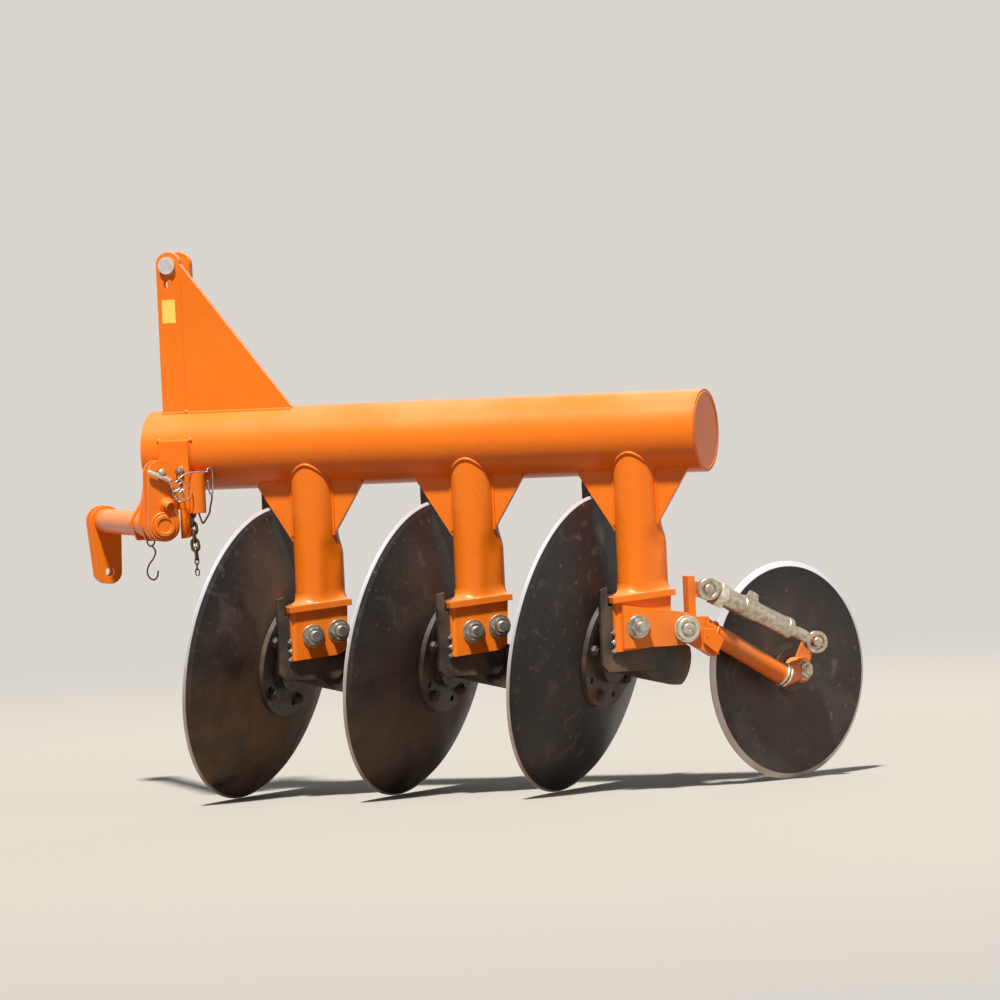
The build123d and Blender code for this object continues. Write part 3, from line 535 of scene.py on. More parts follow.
def bolt_end(
    name, spot, axis, across, nut, shank, proud, washer, turn, material=nut_zinc, body="frame", slot="zinc"
):
    """Washer, nut and a stub of thread that stands proud; washer is its radius and thickness."""
    place = frame_at(spot, axis) @ Matrix.Rotation(turn, 4, "Z")
    form = bmesh.new()
    radius, base = washer
    if radius:
        flat = radius - WASHER_EDGE
        rows = [(flat, 0.0), (radius, WASHER_EDGE), (radius, base - WASHER_EDGE), (flat, base)]
        lathe(form, place, rows, 40)
    hexagon(form, place, across, base, base + nut)
    if proud:
        height = base + nut
        end = height + proud
        rows = [(shank, height - THREAD_SUNK)]
        while height < end - THREAD_RUNOUT:
            rows += [(shank, height), (shank - THREAD_DEPTH, height + THREAD_PITCH / 2)]
            height += THREAD_PITCH
        rows.append((shank - THREAD_POINT, end))
        lathe(form, place, rows, 24)
    add_piece(name, form, material, body, smooth=False)


def reach_to_edge(corners, start, angle):
    """How far a ray from start runs before it leaves the outline."""
    way = Vector((math.cos(angle), math.sin(angle)))
    nearest = 1.0
    for corner, following in neighbours(corners, looped=True):
        first = Vector(corner) - start
        edge = Vector(following) - Vector(corner)
        cross = way.x * edge.y - way.y * edge.x
        if abs(cross) < 1e-9:
            continue
        far = (first.x * edge.y - first.y * edge.x) / cross
        share = (first.x * way.y - first.y * way.x) / cross
        if far > 0 and 0 <= share <= 1:
            nearest = min(nearest, far)
    return nearest


def collar_fillet(name, foot):
    """Weld that runs out from the leg to its collar plate's edge in a smooth hollow."""
    layers, climb, lift = 7, 0.026, 0.0008
    edge_gap, skin_gap = 0.0045, 0.0012
    least, most = 0.005, 0.029
    start = Vector((LEG_SHIFT, 0.0))
    form = bmesh.new()
    rings = []
    for layer in range(layers + 1):
        turn = math.pi / 2 * layer / layers
        ring = []
        for angle in turns(96):
            edge = reach_to_edge(COLLAR_CORNERS, start, angle) - edge_gap
            inner = leg_radius(angle, COLLAR_TOP) + skin_gap
            reach = min(max(edge, inner + least), inner + most)
            radius = inner + (reach - inner) * (1 - math.cos(turn))
            height = climb * (1 - math.sin(turn)) + lift
            base = foot + rise * COLLAR_TOP + foot_out * radius * math.sin(angle)
            back = start.x + radius * math.cos(angle)
            ring.append(form.verts.new(base + lean_rear * back + lean_up * height))
        rings.append(ring)
    join_rings(form, rings, capped=False)
    add_piece(name, form, enamel)


for unit, foot in enumerate(leg_feet, 1):
    collar_fillet(f"collar_fillet_{unit}", foot)
    stand = CARRIER_THICKNESS if unit == 3 else 0.0
    for number, (back, height) in enumerate(FOOT_BOLTS, 1):
        if (unit, number) == (3, 2):  # the wheel's pivot pin stands there
            continue
        spot = foot + foot_rear * back + foot_out * (FOOT_FACE + stand) + rise * height
        bolt_end(f"foot_bolt_{unit}_{number}", spot, foot_out, turn=0.2 + unit, **FOOT_NUT)
    for number, height in enumerate(EDGE_SCREWS, 1):
        spot = foot + foot_rear * FOOT_EDGE + foot_out * EDGE_SCREW_OUT + rise * height
        bolt_end(f"edge_screw_{unit}_{number}", spot, -foot_rear, turn=0.5 * number, **EDGE_NUT)

# Discs: dished blades pressed from boron steel, varnished black, ground bright along the back of the rim,
# the band's blue-white a painted sky reflection.
# Soil has scuffed rings round them and left brown dust, most on the first; the hubs are black castings.
DISC_RADIUS, DISC_BEVEL = 0.3555, 0.0052
DISC_DUST = (1.25, 0.7, 0.16)  # front to rear
HUB_BOLT_COUNT, HUB_BOLT_CIRCLE = 5, 0.112
HUB_FLANGE_FACE, DISH_FLOOR = 0.0943, 0.0752  # from the rim's middle, where the bolts stand
HUB_TURN = 0.15  # of a bolt's share of the circle, from one hub to the next
HUB_NUT = dict(across=0.024, nut=0.01, shank=0.008, proud=0.004, washer=(0.0145, 0.0025))
PLOUGH_HEAD = dict(across=0.024, nut=0.009, shank=0.008, proud=0, washer=NO_WASHER)
EDGE_BLUR = 0.0006  # half the width over which the ground edge sets in
VARNISH, SCRATCHED, SOIL = (0.019, 0.019, 0.022), (0.075, 0.07, 0.068), (0.205, 0.165, 0.13)
# the ground edge's blue-white is bare steel with a painted sky reflection in its colour
SMEARED, GROUND_EDGE_SKY_TINT, SOILED_EDGE = (0.21, 0.19, 0.17), (0.78, 0.83, 0.95), (0.42, 0.31, 0.22)
CAST_DARK, CAST_LIGHT, CAST_DUST = (0.018, 0.016, 0.015), (0.045, 0.036, 0.03), (0.22, 0.135, 0.075)


def disc_steel(name, centre, axis, radius, bevel, dustiness):
    """Black varnish with a bright ground edge as wide as bevel, its blue-white a painted sky reflection,
    worn in rings round the axis.
    """
    material, tree, shader = new_finish(name)
    away = vector_step(tree, "SUBTRACT", own_place(tree), centre).outputs["Vector"]
    across = vector_step(tree, "CROSS_PRODUCT", away, axis).outputs["Vector"]
    spread = vector_step(tree, "LENGTH", across).outputs["Value"]
    ground = stretch(tree, spread, radius - bevel - EDGE_BLUR, radius - bevel + EDGE_BLUR)
    look = {"Scale": 260, "Detail": 6, "W": spread}
    rings = add_node(tree, "ShaderNodeTexNoise", look, noise_dimensions="1D").outputs["Fac"]
    ring_mark = stretch(tree, rings, 0.55, 0.75)
    scuffs = product(tree, ring_mark, add_noise(tree, 6, 5, 0.4, 0.8))
    inner = stretch(tree, spread, radius, radius * 0.25)
    haze = product(tree, inner, add_noise(tree, 6, 8, 0.3, 0.72, 0.6))
    low = product(tree, height_fade(tree, 0.0, 0.5), add_noise(tree, 9, 7, 0.3, 0.68, 0.4))
    dust = product(tree, total(tree, haze, low), dustiness)
    smears = product(tree, add_noise(tree, 17, 10, 0.58, 0.76, 0.8), 0.42)
    chips = product(tree, add_noise(tree, 75, 7, 0.64, 0.72), 0.5)
    varnish = mix_colour(tree, product(tree, scuffs, 0.5), VARNISH, SCRATCHED)
    dark = mix_colour(tree, dust, varnish, SOIL)
    marked = mix_colour(tree, total(tree, smears, chips), dark, SMEARED)
    soiled = product(tree, total(tree, low, 0.12), 0.75)
    # the ground band: bare steel, with its blue-white colour a painted sky reflection
    bright = mix_colour(tree, soiled, GROUND_EDGE_SKY_TINT, SOILED_EDGE)
    rough = total(tree, product(tree, dust, 0.5), 0.4)
    look = {
        "Base Color": mix_colour(tree, ground, marked, bright),
        "Roughness": mix_colour(tree, ground, rough, (0.3, 0.3, 0.3)),
        "Metallic": product(tree, ground, 0.2),
        "Specular IOR Level": 0.26,
    }
    feed(tree, shader, look)
    add_bump(tree, shader, rings, 0.1, 0.0005)
    return material


def black_casting(name):
    material, tree, shader = new_finish(name)
    tone = mix_colour(tree, add_noise(tree, 18, 5, 0.35, 0.7), CAST_DARK, CAST_LIGHT)
    dust = product(tree, add_noise(tree, 14, 8, 0.42, 0.72, 0.4), 0.55)
    rough = total(tree, product(tree, dust, 0.5), 0.45)
    feed(tree, shader, {"Base Color": mix_colour(tree, dust, tone, CAST_DUST), "Roughness": rough})
    soften_edges(tree, shader, add_noise(tree, 220, 4, 0.3, 0.7), 0.35, 0.0008, 0.003)
    return material


casting = black_casting("black_casting")
for unit, (centre, dust) in enumerate(zip(disc_centres, DISC_DUST), 1):
    steel = disc_steel(f"disc_steel_{unit}", centre, disc_back, DISC_RADIUS, DISC_BEVEL, dust)
    finish_nodes(steel, f"disc_{unit}")
    finish_nodes(casting, f"hub_{unit}", f"hub_bracket_{unit}", f"hub_cap_{unit}", f"scraper_{unit}")
    hub_place = frame_at(centre, disc_back)
    for number in range(HUB_BOLT_COUNT):
        angle = 2 * math.pi * (number + HUB_TURN * unit) / HUB_BOLT_COUNT
        for name, face, way, size in (
            ("hub_bolt", HUB_FLANGE_FACE, disc_back, HUB_NUT),
            ("plough_bolt", DISH_FLOOR, -disc_back, PLOUGH_HEAD),
        ):
            spot = circle_point(hub_place, HUB_BOLT_CIRCLE, angle, face)
            ride = dict(material=casting, body=f"disc_unit_{unit}", slot="cast_black")
            bolt_end(f"{name}_{unit}_{number + 1}", spot, way, turn=number, **size, **ride)

# Mast: flame-cut plate welded along the beam's left, a strap on its right and a loose pin through both.
# A small blank yellow sticker sits on the plate's upper end.
MAST_FRONT, MAST_BASE_END, STRAP_WIDTH = 0.036, 0.367, 0.06
MAST_LEFT, STRAP_SIDE = 0.034, -0.034  # outer face of the plate, middle of the strap's bead
STICKER_STATION, STICKER_HEIGHT, STICKER_LIFT = 0.064, 1.172, 0.0002
SEAM_STATION, SEAM_TOP, SEAM_RISE, SEAM_SUNK = 0.0975, 1.262, 0.0925, 0.0006
finish_nodes(enamel, "mast_plate", "mast_strap")
finish_nodes(plated_steel("bright_plate", (0.88, 0.9, 0.95), (0.66, 0.66, 0.68)), "top_pin")


def beam_spot(station, side, height):
    """Point given from the beam's front end: back along the beam, to its left, above the floor."""
    return beam_front + beam_back * station + beam_left * side + rise * (height - BEAM_HEIGHT)


def spaced_values(start, end, count):
    return [start + (end - start) * step / (count - 1) for step in range(count)]


def top_run(start, end, side, count):
    """Points along the beam's upper skin, at one distance to its left."""
    height = BEAM_HEIGHT + math.sqrt(BEAM_RADIUS**2 - side**2)
    return [beam_spot(station, side, height) for station in spaced_values(start, end, count)]


def sticker(name, middle, width, height, thick, material):
    """Thin sheet with rounded corners lying on the beam's left."""
    corner, steps = 0.002, 5
    outline = []
    for across, along, start in ((1, 1, 0), (-1, 1, 90), (-1, -1, 180), (1, -1, 270)):
        for step in range(steps):
            angle = math.radians(start + 90 * step / (steps - 1))
            x = across * (width / 2 - corner) + corner * math.cos(angle)
            y = along * (height / 2 - corner) + corner * math.sin(angle)
            outline.append(middle + beam_back * x + rise * y)
    form = bmesh.new()
    out = beam_back.cross(rise) * thick
    bottom = [form.verts.new(point) for point in outline]
    top = [form.verts.new(point + out) for point in outline]
    join_rings(form, [bottom, top])
    add_piece(name, form, material, smooth=False)


def sticker_vinyl(name, colour):
    material, tree, shader = new_finish(name)
    grime = product(tree, add_noise(tree, 120, 6, 0.5, 0.8), 0.35)
    feed(tree, shader, {"Base Color": mix_colour(tree, grime, colour, FIELD_DUST), "Roughness": 0.42})
    return material


yellow_vinyl = sticker_vinyl("yellow_vinyl", (0.92, 0.72, 0.14))
spot = beam_spot(STICKER_STATION, MAST_LEFT + STICKER_LIFT, STICKER_HEIGHT)
sticker("blank_sticker", spot, width=0.034, height=0.056, thick=0.0004, material=yellow_vinyl)
mast_run = top_run(MAST_FRONT, MAST_BASE_END, side=MAST_LEFT + 0.002, count=24)
strap_run = top_run(MAST_FRONT, MAST_FRONT + STRAP_WIDTH, side=STRAP_SIDE, count=12)
weld_bead("mast_weld", mast_run, size=0.004)
weld_bead("strap_weld", strap_run, size=0.004)

# the bar that carries the holes is let into the triangle: one long seam, ground nearly flat
seam_foot = beam_spot(SEAM_STATION, MAST_LEFT - SEAM_SUNK, BEAM_HEIGHT + SEAM_RISE)
seam_head = beam_spot(SEAM_STATION, MAST_LEFT - SEAM_SUNK, SEAM_TOP)
weld_bead("mast_seam", [seam_head, seam_foot], size=0.0019)
SEAM_BLOB = [(0.0062, 0.0), (0.006, 0.003), (0.0046, 0.0062), (0.002, 0.0078)]
seam_end = bmesh.new()
lathe(seam_end, frame_at(seam_foot, beam_left), SEAM_BLOB, sides=18)
add_piece("mast_seam_end", seam_end, enamel)

# Hitch: plate and hangers welded under the beam, cranked cross shaft with ears, upright pin sleeve.
# A steel pin stands in the left ears, locked by a linch pin on a chain; wire and chains hang beside it,
# the bulkiest a dark stand-in for painted shade.
EAR_FACE, SHAFT_END = 0.176, 0.179  # left of the beam's front end
SHAFT_AHEAD, SHAFT_HEIGHT = 0.0255, 0.664
PIN_AHEAD, PIN_HEIGHT = 0.0295, 0.79
PLATE_START, PLATE_END, PLATE_TOP = 0.05, 0.126, 0.862
TAIL_SIDE = 0.0925
TAIL_CORNERS = ((0.098, 0.7035), (0.1245, 0.7035), (0.1245, 0.638), (0.1185, 0.632), (0.098, 0.63))
LINK_GAP, LINK_TWIST = 1.15, 0.35  # in link thicknesses, in radians
CHAIN_NUT = dict(across=0.019, nut=0.011, shank=0.0055, proud=0.007, washer=(0.0125, 0.002))
travel, leftward = Vector((1, 0, 0)), Vector((0, 1, 0))
finish_nodes(enamel, "hitch_plate", "hanger_left", "hanger_right", "cross_shaft", "pin_sleeve")
worn_steel = plated_steel("worn_steel", (0.56, 0.53, 0.47), (0.3, 0.25, 0.19))
rusty_steel = plated_steel("rusty_steel", (0.2, 0.13, 0.085), (0.085, 0.05, 0.032))


def front_spot(ahead, left, height):
    """Point given ahead and to the left of the beam's front end, above the floor."""
    return Vector((beam_front.x + ahead, beam_front.y + left, height))


def smooth_path(points, closed=False, steps=7):
    """Points along a curve through the given ones."""
    count = len(points)
    path = []
    for index in range(count if closed else count - 1):
        if closed:
            before, start, end, after = (points[(index + k) % count] for k in (-1, 0, 1, 2))
        else:
            start, end = points[index], points[index + 1]
            before = points[index - 1] if index else start * 2 - end
            after = points[index + 2] if index + 2 < count else end * 2 - start
        square = before * 2 - start * 5 + end * 4 - after
        cube = start * 3 - before - end * 3 + after
        for step in range(steps):
            t = step / steps
            path.append((start * 2 + (end - before) * t + square * t**2 + cube * t**3) * 0.5)
    if not closed:
        path.append(points[-1])
    return path


def bent_wire(name, spots, radius, material=worn_steel, closed=False):
    """Wire on a curve through spots given as front_spot takes them."""
    path = smooth_path([front_spot(*spot) for spot in spots], closed)
    form = bmesh.new()
    sweep_ring(form, path, radius, closed, sides=9)
    add_piece(name, form, material)


def hung_chain(name, spots, link_length, link_width, thick, material):
    """Welded links on a curve through spots, each turned a quarter from the one before."""
    path = smooth_path([front_spot(*spot) for spot in spots], steps=16)
    pitch = link_length - 2 * thick * LINK_GAP
    ends, travelled = [path[0]], 0.0
    for start, end in zip(path, path[1:]):
        travelled += (end - start).length
        if travelled >= pitch:
            ends.append(end)
            travelled = 0.0
    form = bmesh.new()
    bend = link_width / 2 - thick / 2
    straight = link_length / 2 - thick / 2 - bend
    for link, (start, end) in enumerate(zip(ends, ends[1:])):
        quarter = Matrix.Rotation(math.pi / 2 * (link % 2) + LINK_TWIST, 4, "Z")
        place = frame_at((start + end) / 2, end - start, leftward) @ quarter
        ring = []
        for side, turn in ((1, 0), (-1, math.pi)):
            for step in range(7):
                angle = turn + math.pi * step / 6
                along = side * straight + bend * math.sin(angle)
                ring.append(place @ Vector((bend * math.cos(angle), 0, along)))
        sweep_ring(form, ring, thick / 2, closed=True, sides=7)
    add_piece(name, form, material)


def turned_piece(
    name, origin, axis, profile, material, body="frame", ring_shaped=False, sides=40
):
    form = bmesh.new()
    lathe(form, frame_at(origin, axis), profile, sides, ring_shaped)
    add_piece(name, form, material, body, smooth=False)


def dome(radius, height, start):
    """Profile of a rounded end that begins at start."""
    angles = [math.pi / 2 * step / 8 for step in range(8)]
    return [(radius * math.cos(angle), start + height * math.sin(angle)) for angle in angles]


# the left pin with its rounded end, and the tapered linch pin through it
PIN_PROFILE = [(0.0095, 0.0), (0.0107, 0.0015)] + dome(0.0107, 0.008, 0.084)
turned_piece("left_hitch_pin", front_spot(PIN_AHEAD, 0.104, PIN_HEIGHT), leftward, PIN_PROFILE, worn_steel)
linch_left, linch_right = front_spot(0.0625, 0.1865, 0.7955), front_spot(0.005, 0.189, 0.769)
LINCH_SHARES = (0.0, 0.02, 0.1, 0.55, 0.9, 0.97, 1.0)
LINCH_RADII = [0.002, 0.0038, 0.0048, 0.0064, 0.007, 0.0058, 0.0028]
linch_form = bmesh.new()
linch_line = [linch_left.lerp(linch_right, share) for share in LINCH_SHARES]
sweep_ring(linch_form, linch_line, LINCH_RADII, closed=False, sides=16)
add_piece("linch_pin", linch_form, zinc)
LINCH_CHAIN = ((0.008, 0.19, 0.768), (0.004, 0.191, 0.745), (-0.006, 0.192, 0.722))
hung_chain("linch_chain", LINCH_CHAIN, 0.017, 0.01, thick=0.0026, material=worn_steel)

# wire rings and the tangle that joins the chain to the sleeve
large_ring, small_ring = [], []
for angle in turns(10):
    right, up = math.cos(angle), math.sin(angle)
    large_ring.append((-0.021 + 0.0185 * right, 0.193 + 0.003 * math.sin(2 * angle), 0.744 + 0.022 * up))
    small_ring.append((-0.01 + 0.012 * right, 0.1945 - 0.006 * right, 0.734 + 0.014 * up))
bent_wire("wire_ring_large", large_ring, 0.0016, closed=True)
bent_wire("wire_ring_small", small_ring, 0.0015, closed=True)
TANGLE_SPOTS = (
    (-0.004, 0.192, 0.722),
    (0.006, 0.194, 0.741),
    (-0.012, 0.196, 0.752),
    (-0.002, 0.193, 0.765),
    (-0.017, 0.191, 0.771),
    (-0.022, 0.195, 0.75),
    (-0.01, 0.197, 0.741),
    (-0.02, 0.196, 0.728),
    (-0.01, 0.194, 0.716),
)
bent_wire("wire_tangle", TANGLE_SPOTS, 0.0017)
KNOB_PROFILE = [(0.004, 0.0)] + dome(0.0062, 0.008, 0.001)
turned_piece("tangle_knob", front_spot(-0.018, 0.188, 0.746), leftward, KNOB_PROFILE, worn_steel)
SLEEVE_SPOTS = (
    (-0.008, 0.192, 0.771),
    (-0.022, 0.191, 0.782),
    (-0.04, 0.184, 0.7875),
    (-0.066, 0.18, 0.7875),
    (-0.082, 0.178, 0.787),
    (-0.0845, 0.176, 0.7935),
    (-0.091, 0.174, 0.7955),
    (-0.0965, 0.173, 0.788),
    (-0.0965, 0.173, 0.762),
    (-0.0955, 0.173, 0.738),
    (-0.0915, 0.173, 0.732),
    (-0.0865, 0.174, 0.742),
    (-0.0845, 0.175, 0.766),
)
bent_wire("sleeve_wire", SLEEVE_SPOTS, 0.0019)
WIRE_TAIL = (
    (-0.0935, 0.172, 0.738),
    (-0.093, 0.172, 0.722),
    (-0.088, 0.171, 0.7),
    (-0.0865, 0.17, 0.69),
    (-0.077, 0.17, 0.674),
    (-0.069, 0.17, 0.665),
    (-0.0655, 0.17, 0.673),
    (-0.06, 0.169, 0.69),
)
bent_wire("sleeve_wire_tail", WIRE_TAIL, 0.0023, rusty_steel)
spot = beam_spot(0.104, 0.1048, 0.7905)
bolt_end("chain_bolt", spot, beam_left, turn=0.2, material=worn_steel, **CHAIN_NUT)
CLIP_SPOTS = ((-0.02, 0.165, 0.781), (-0.012, 0.18, 0.777), (-0.014, 0.19, 0.77))
bent_wire("chain_bolt_clip", CLIP_SPOTS, 0.002)

# welded boss on the outer ear, the shaft's end and their beads
BOSS_TILT = (leftward + rise * -0.35 - travel * 0.45).normalized()
BOSS_PROFILE = [
    (0.0135, 0.0),
    (0.0135, 0.012),
    (0.012, 0.0135),
    (0.012, 0.02),
    (0.0105, 0.0215),
    (0.0065, 0.0215),
    (0.0065, 0.017),
]
boss_spot = front_spot(0.02, 0.172, 0.715)
turned_piece("ear_boss", boss_spot, BOSS_TILT, BOSS_PROFILE, enamel)
boss_edge = circle_path(front_spot(0.0175, EAR_FACE + 0.001, 0.712), leftward, 0.0155)
weld_bead("ear_boss_weld", boss_edge, size=0.003, closed=True)
shaft_edge = circle_path(front_spot(SHAFT_AHEAD, EAR_FACE + 0.0005, SHAFT_HEIGHT), leftward, 0.0305)
weld_bead("shaft_weld_left", shaft_edge, size=0.0034, closed=True)
PLUG_PROFILE = [(0.0265, 0.0), (0.0265, 0.003), (0.025, 0.0045), (0.0175, 0.0045), (0.016, 0.002)]
plug_spot = front_spot(SHAFT_AHEAD, SHAFT_END - 0.0005, SHAFT_HEIGHT)
turned_piece("shaft_end_plug", plug_spot, leftward, PLUG_PROFILE, enamel)

# beads round the hitch plate, with a blob at each upper corner
for name, station in (("front", PLATE_START), ("rear", PLATE_END)):
    run = []
    for height in spaced_values(PLATE_TOP - 0.004, PLATE_TOP - 0.062, 9):
        side = math.sqrt(BEAM_RADIUS**2 - (height - BEAM_HEIGHT) ** 2)
        run.append(beam_spot(station, side + 0.001, height))
    weld_bead(f"hitch_plate_weld_{name}", run, size=0.003)
top_side = math.sqrt(BEAM_RADIUS**2 - (PLATE_TOP - BEAM_HEIGHT) ** 2)
top_stations = spaced_values(PLATE_START, PLATE_END, 5)
top_edge = [beam_spot(station, top_side + 0.003, PLATE_TOP + 0.0005) for station in top_stations]
weld_bead("hitch_plate_weld_top", top_edge, size=0.0034)
BLOB_PROFILE = [(0.0052, 0.0)] + dome(0.0066, 0.0065, 0.001)
for name, station in (("front", PLATE_START - 0.002), ("rear", PLATE_END + 0.002)):
    spot = beam_spot(station, top_side - 0.002, PLATE_TOP + 0.002)
    turned_piece(f"weld_blob_{name}", spot, beam_left, BLOB_PROFILE, enamel)


def cut_plate(name, outline, way, thick, chamfer, material, body="frame"):
    """Plate with broken edges from its corner points."""
    form = bmesh.new()
    low = [form.verts.new(point) for point in outline]
    high = [form.verts.new(point + way * thick) for point in outline]
    join_rings(form, [low, high])
    bmesh.ops.recalc_face_normals(form, faces=form.faces)
    bmesh.ops.bevel(form, geom=form.edges[:], offset=chamfer, segments=2, affect="EDGES", profile=0.5)
    add_piece(name, form, material, body, smooth=False)


tail_outline = [beam_spot(station, TAIL_SIDE, height) for station, height in TAIL_CORNERS]
cut_plate("plate_tail", tail_outline, beam_left, thick=0.012, chamfer=0.0014, material=enamel)

# the hook under the beam's front end, and a bulky dark chain behind the sleeve that is painted shade: it
# stands where the hanger's rear edge lies in shade
eye_spots = [(0.0235 + 0.009 * math.cos(a), 0.001, 0.6235 + 0.0115 * math.sin(a)) for a in turns(10)]
bent_wire("hook_eye", eye_spots, 0.0021, rusty_steel, closed=True)
HOOK_SPOTS = (
    (0.0235, 0.004, 0.6135),
    (0.0165, 0.002, 0.606),
    (0.013, 0.0, 0.596),
    (0.019, 0.0, 0.582),
    (0.031, 0.0, 0.566),
    (0.0355, 0.0, 0.549),
    (0.029, 0.0, 0.535),
    (0.0185, 0.0, 0.531),
    (0.011, 0.0, 0.539),
    (0.0085, 0.0, 0.552),
)
bent_wire("hanging_hook", HOOK_SPOTS, 0.0021, rusty_steel)
SHADE_CHAIN_SPOTS = ((-0.046, 0.15, 0.703), (-0.05, 0.152, 0.64), (-0.055, 0.152, 0.575))
THIN_CHAIN = ((-0.0545, 0.152, 0.582), (-0.0535, 0.152, 0.56), (-0.0555, 0.152, 0.534))
# painted shade: this bulky dark chain fills the shaded rear edge of the hanger
hung_chain("painted_shade_chain", SHADE_CHAIN_SPOTS, 0.036, 0.024, thick=0.0078, material=rusty_steel)
hung_chain("thin_chain", THIN_CHAIN, 0.02, 0.012, thick=0.0032, material=rusty_steel)

# Furrow wheel: carrier plate and post on the last foot, cranked bar, flat wheel with a bright bevel whose
# blue-white is a painted sky reflection.
# The adjusting link is a dull plated tube with a screw in it; pins, rings and washers are plated.
WHEEL_RADIUS, WHEEL_BEVEL, WHEEL_DUST = 0.258, 0.0125, 0.42
EYE_HALF = 0.009
TUBE_SKIN = 0.0238  # inner radius of what is clamped round the link's tube
SCREW_START, SCREW_TURNS, SCREW_PITCH = 0.2845, 7, 0.004
SCREW_END, SCREW_ROOT, SCREW_CREST = 0.0125, 0.0141, 0.0151
AXLE_NUT = dict(across=0.036, nut=0.012, shank=0.0115, proud=0.006, washer=(0.024, 0.003))
ARM, SLEEVE, ROD = "wheel_arm_unit", "link_sleeve_unit", "link_rod_unit"
wheel_joint = joints["furrow_wheel_spin"]
wheel_centre, wheel_axis = Vector(wheel_joint["pos_m"]), Vector(wheel_joint["axis"]).normalized()
furrow_enamel = orange_enamel("furrow_enamel", 0.66, 0.75, 0.55)
wheel_steel = disc_steel("wheel_steel", wheel_centre, wheel_axis, WHEEL_RADIUS, WHEEL_BEVEL, WHEEL_DUST)
finish_nodes(furrow_enamel, "wheel_carrier", "wheel_arm")
finish_nodes(dull_zinc, "pivot_pin", "link_sleeve", "link_rod")
finish_nodes(wheel_steel, "furrow_wheel")
finish_nodes(casting, "wheel_hub")


def last_foot(back, out, height):
    """Point given from the last leg's axis: back, outwards, above the floor."""
    return leg_feet[2] + foot_rear * back + foot_out * out + rise * height


def ring_profile(inner, outer, height, edge):
    """Section of a flat ring whose outer corners are broken."""
    return [
        (inner, 0.0),
        (outer - edge, 0.0),
        (outer, edge),
        (outer, height - edge),
        (outer - edge, height),
        (inner, height),
    ]


LINK_TOP, LINK_LOW = last_foot(0.142, 0.082, 0.468), last_foot(0.442, -0.03, 0.324)
EYE_RING = [
    (0.0165, 0.0),
    (0.0255, 0.0),
    (0.0262, 0.0008),
    (0.0262, 0.0038),
    (0.025, 0.005),
    (0.018, 0.005),
    (0.0165, 0.0038),
]
link_way = (LINK_LOW - LINK_TOP).normalized()
for name, eye, ring_body, pin_body, pin_lift in (
    ("upper", LINK_TOP, SLEEVE, "frame", 0.0045),
    ("lower", LINK_LOW, ROD, ARM, 0.0118),
):
    face = eye + foot_out * EYE_HALF
    turned_piece(f"{name}_eye_ring", face, foot_out, EYE_RING, dull_zinc, ring_body, ring_shaped=True)
    pin_profile = [(0.0092, -0.001), (0.0092, pin_lift)] + dome(0.0122, 0.005, pin_lift + 0.0004)
    turned_piece(f"{name}_eye_pin", face, foot_out, pin_profile, worn_steel, pin_body)

link_nut = bmesh.new()
nut_place = frame_at(LINK_TOP, link_way) @ Matrix.Rotation(0.26, 4, "Z")
hexagon(link_nut, nut_place, across=0.056, low=0.0225, high=0.048)
add_piece("link_nut", link_nut, zinc, SLEEVE, smooth=False)
for name, start, end, radius in (
    ("clamp_band", 0.104, 0.15, 0.0258),
    ("sleeve_collar", 0.246, 0.2625, 0.0256),
):
    profile = ring_profile(TUBE_SKIN, radius, height=end - start, edge=0.001)
    spot = LINK_TOP + link_way * start
    turned_piece(name, spot, link_way, profile, dull_zinc, SLEEVE, ring_shaped=True)
thread = [(SCREW_END, -0.001)]
for turn in range(SCREW_TURNS):
    thread += [(SCREW_ROOT, SCREW_PITCH * turn), (SCREW_CREST, SCREW_PITCH * turn + 0.002)]
thread.append((SCREW_END, SCREW_PITCH * SCREW_TURNS))
thread_start = LINK_TOP + link_way * SCREW_START
turned_piece("link_thread", thread_start, link_way, thread, dull_zinc, ROD, sides=24)

# foot_out and link_way are not quite square, so the lug's height is taken square to both
link_up = link_way.cross(foot_out).normalized()
if link_up.z < 0:
    link_up = -link_up
lug_base = LINK_TOP + link_way * 0.112 + link_up * 0.0235 - foot_out * 0.006
LUG_CORNERS = ((0.0, 0.0), (0.036, 0.0), (0.029, 0.016), (0.004, 0.018))
lug_outline = [lug_base + link_way * along + link_up * up for along, up in LUG_CORNERS]
LUG_WIDTH, LUG_EDGE = 0.016, 0.0016
cut_plate("clamp_lug", lug_outline, foot_out, LUG_WIDTH, LUG_EDGE, dull_zinc, SLEEVE)

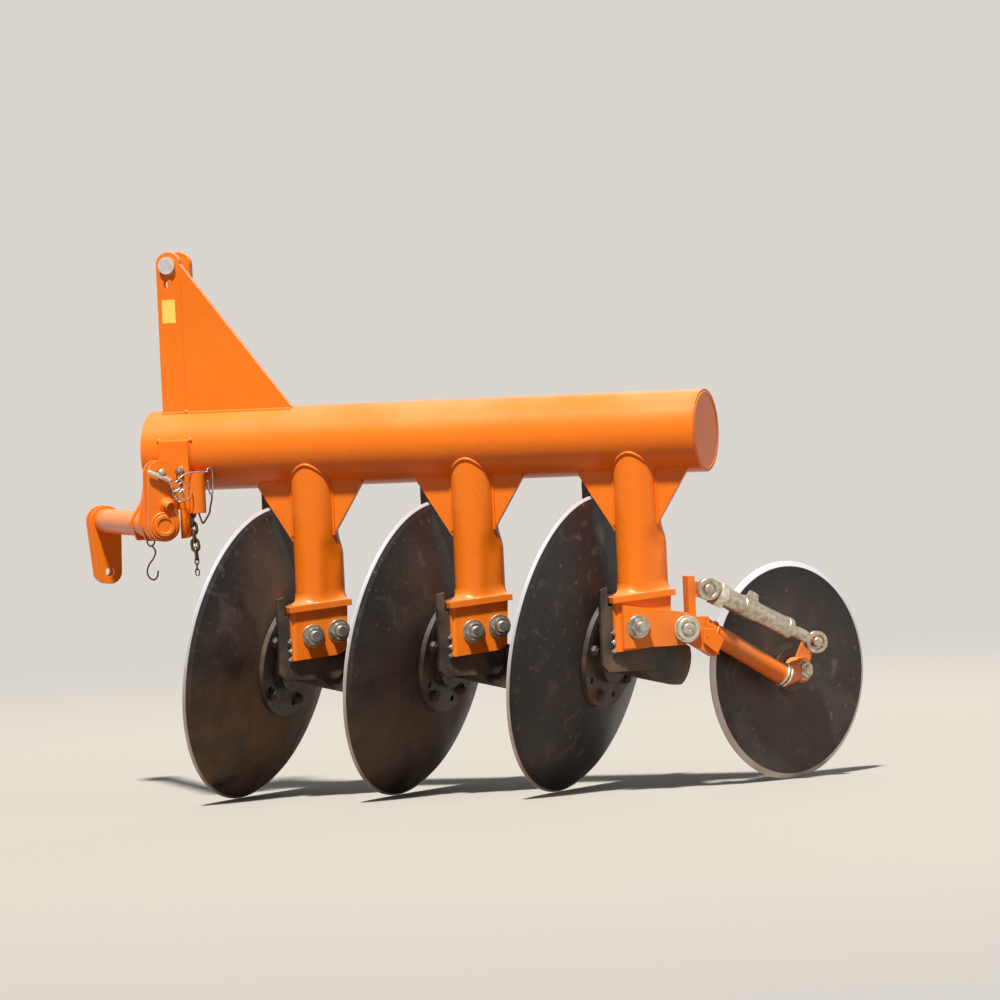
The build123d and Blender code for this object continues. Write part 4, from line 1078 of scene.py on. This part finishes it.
# the pivot's washer and domed end, the strap over the yoke and the beads round it
PIVOT = last_foot(0.088, 0.09, 0.378)
PIVOT_END = PIVOT - foot_out * 0.0004
PIVOT_WASHER = ring_profile(inner=0.0272, outer=0.0316, height=0.0036, edge=0.0006)
PIVOT_RING = [
    (0.0185, 0.0),
    (0.0262, 0.0),
    (0.0262, 0.0022),
    (0.025, 0.0034),
    (0.0195, 0.0034),
    (0.0185, 0.0024),
]
PIVOT_DOME = [
    (0.015, 0.0),
    (0.015, 0.0035),
    (0.0138, 0.0062),
    (0.0105, 0.008),
    (0.004, 0.0086),
    (0.0034, 0.0082),
    (0.0032, 0.005),
]
washer_spot = PIVOT - foot_out * 0.0108
turned_piece("pivot_washer", washer_spot, foot_out, PIVOT_WASHER, zinc, ring_shaped=True)
turned_piece("pivot_ring", PIVOT_END, foot_out, PIVOT_RING, zinc, ring_shaped=True)
turned_piece("pivot_dome", PIVOT_END, foot_out, PIVOT_DOME, dull_zinc)
STRAP_CORNERS = ((0.126, 0.376), (0.149, 0.377), (0.176, 0.348), (0.158, 0.315), (0.125, 0.343))
strap_outline = [last_foot(back, 0.08, height) for back, height in STRAP_CORNERS]
strap_enamel = orange_enamel("strap_enamel", 0.9, 1.0, 0.9)
cut_plate(
    "yoke_strap", strap_outline, foot_out, thick=0.0075, chamfer=0.0014, material=strap_enamel, body=ARM
)
arm_start, arm_elbow = last_foot(0.138, 0.057, 0.377), last_foot(0.36, -0.026, 0.248)
arm_way = (arm_elbow - arm_start).normalized()
yoke_edge = circle_path(arm_start + arm_way * 0.022, arm_way, 0.025)
weld_bead("yoke_weld", yoke_edge, size=0.0028, closed=True, body=ARM, material=furrow_enamel)
ARM_WASHER = ring_profile(inner=0.0236, outer=0.0292, height=0.0053, edge=0.0007)
for number, distance in enumerate((0.014, 0.004), 1):
    spot = arm_elbow - arm_way * distance
    turned_piece(f"arm_washer_{number}", spot, arm_way, ARM_WASHER, zinc, ARM, ring_shaped=True)
axle_end = wheel_centre + wheel_axis * 0.0498
bolt_end("axle_nut", axle_end, wheel_axis, turn=0.5, material=dull_zinc, body=ARM, **AXLE_NUT)
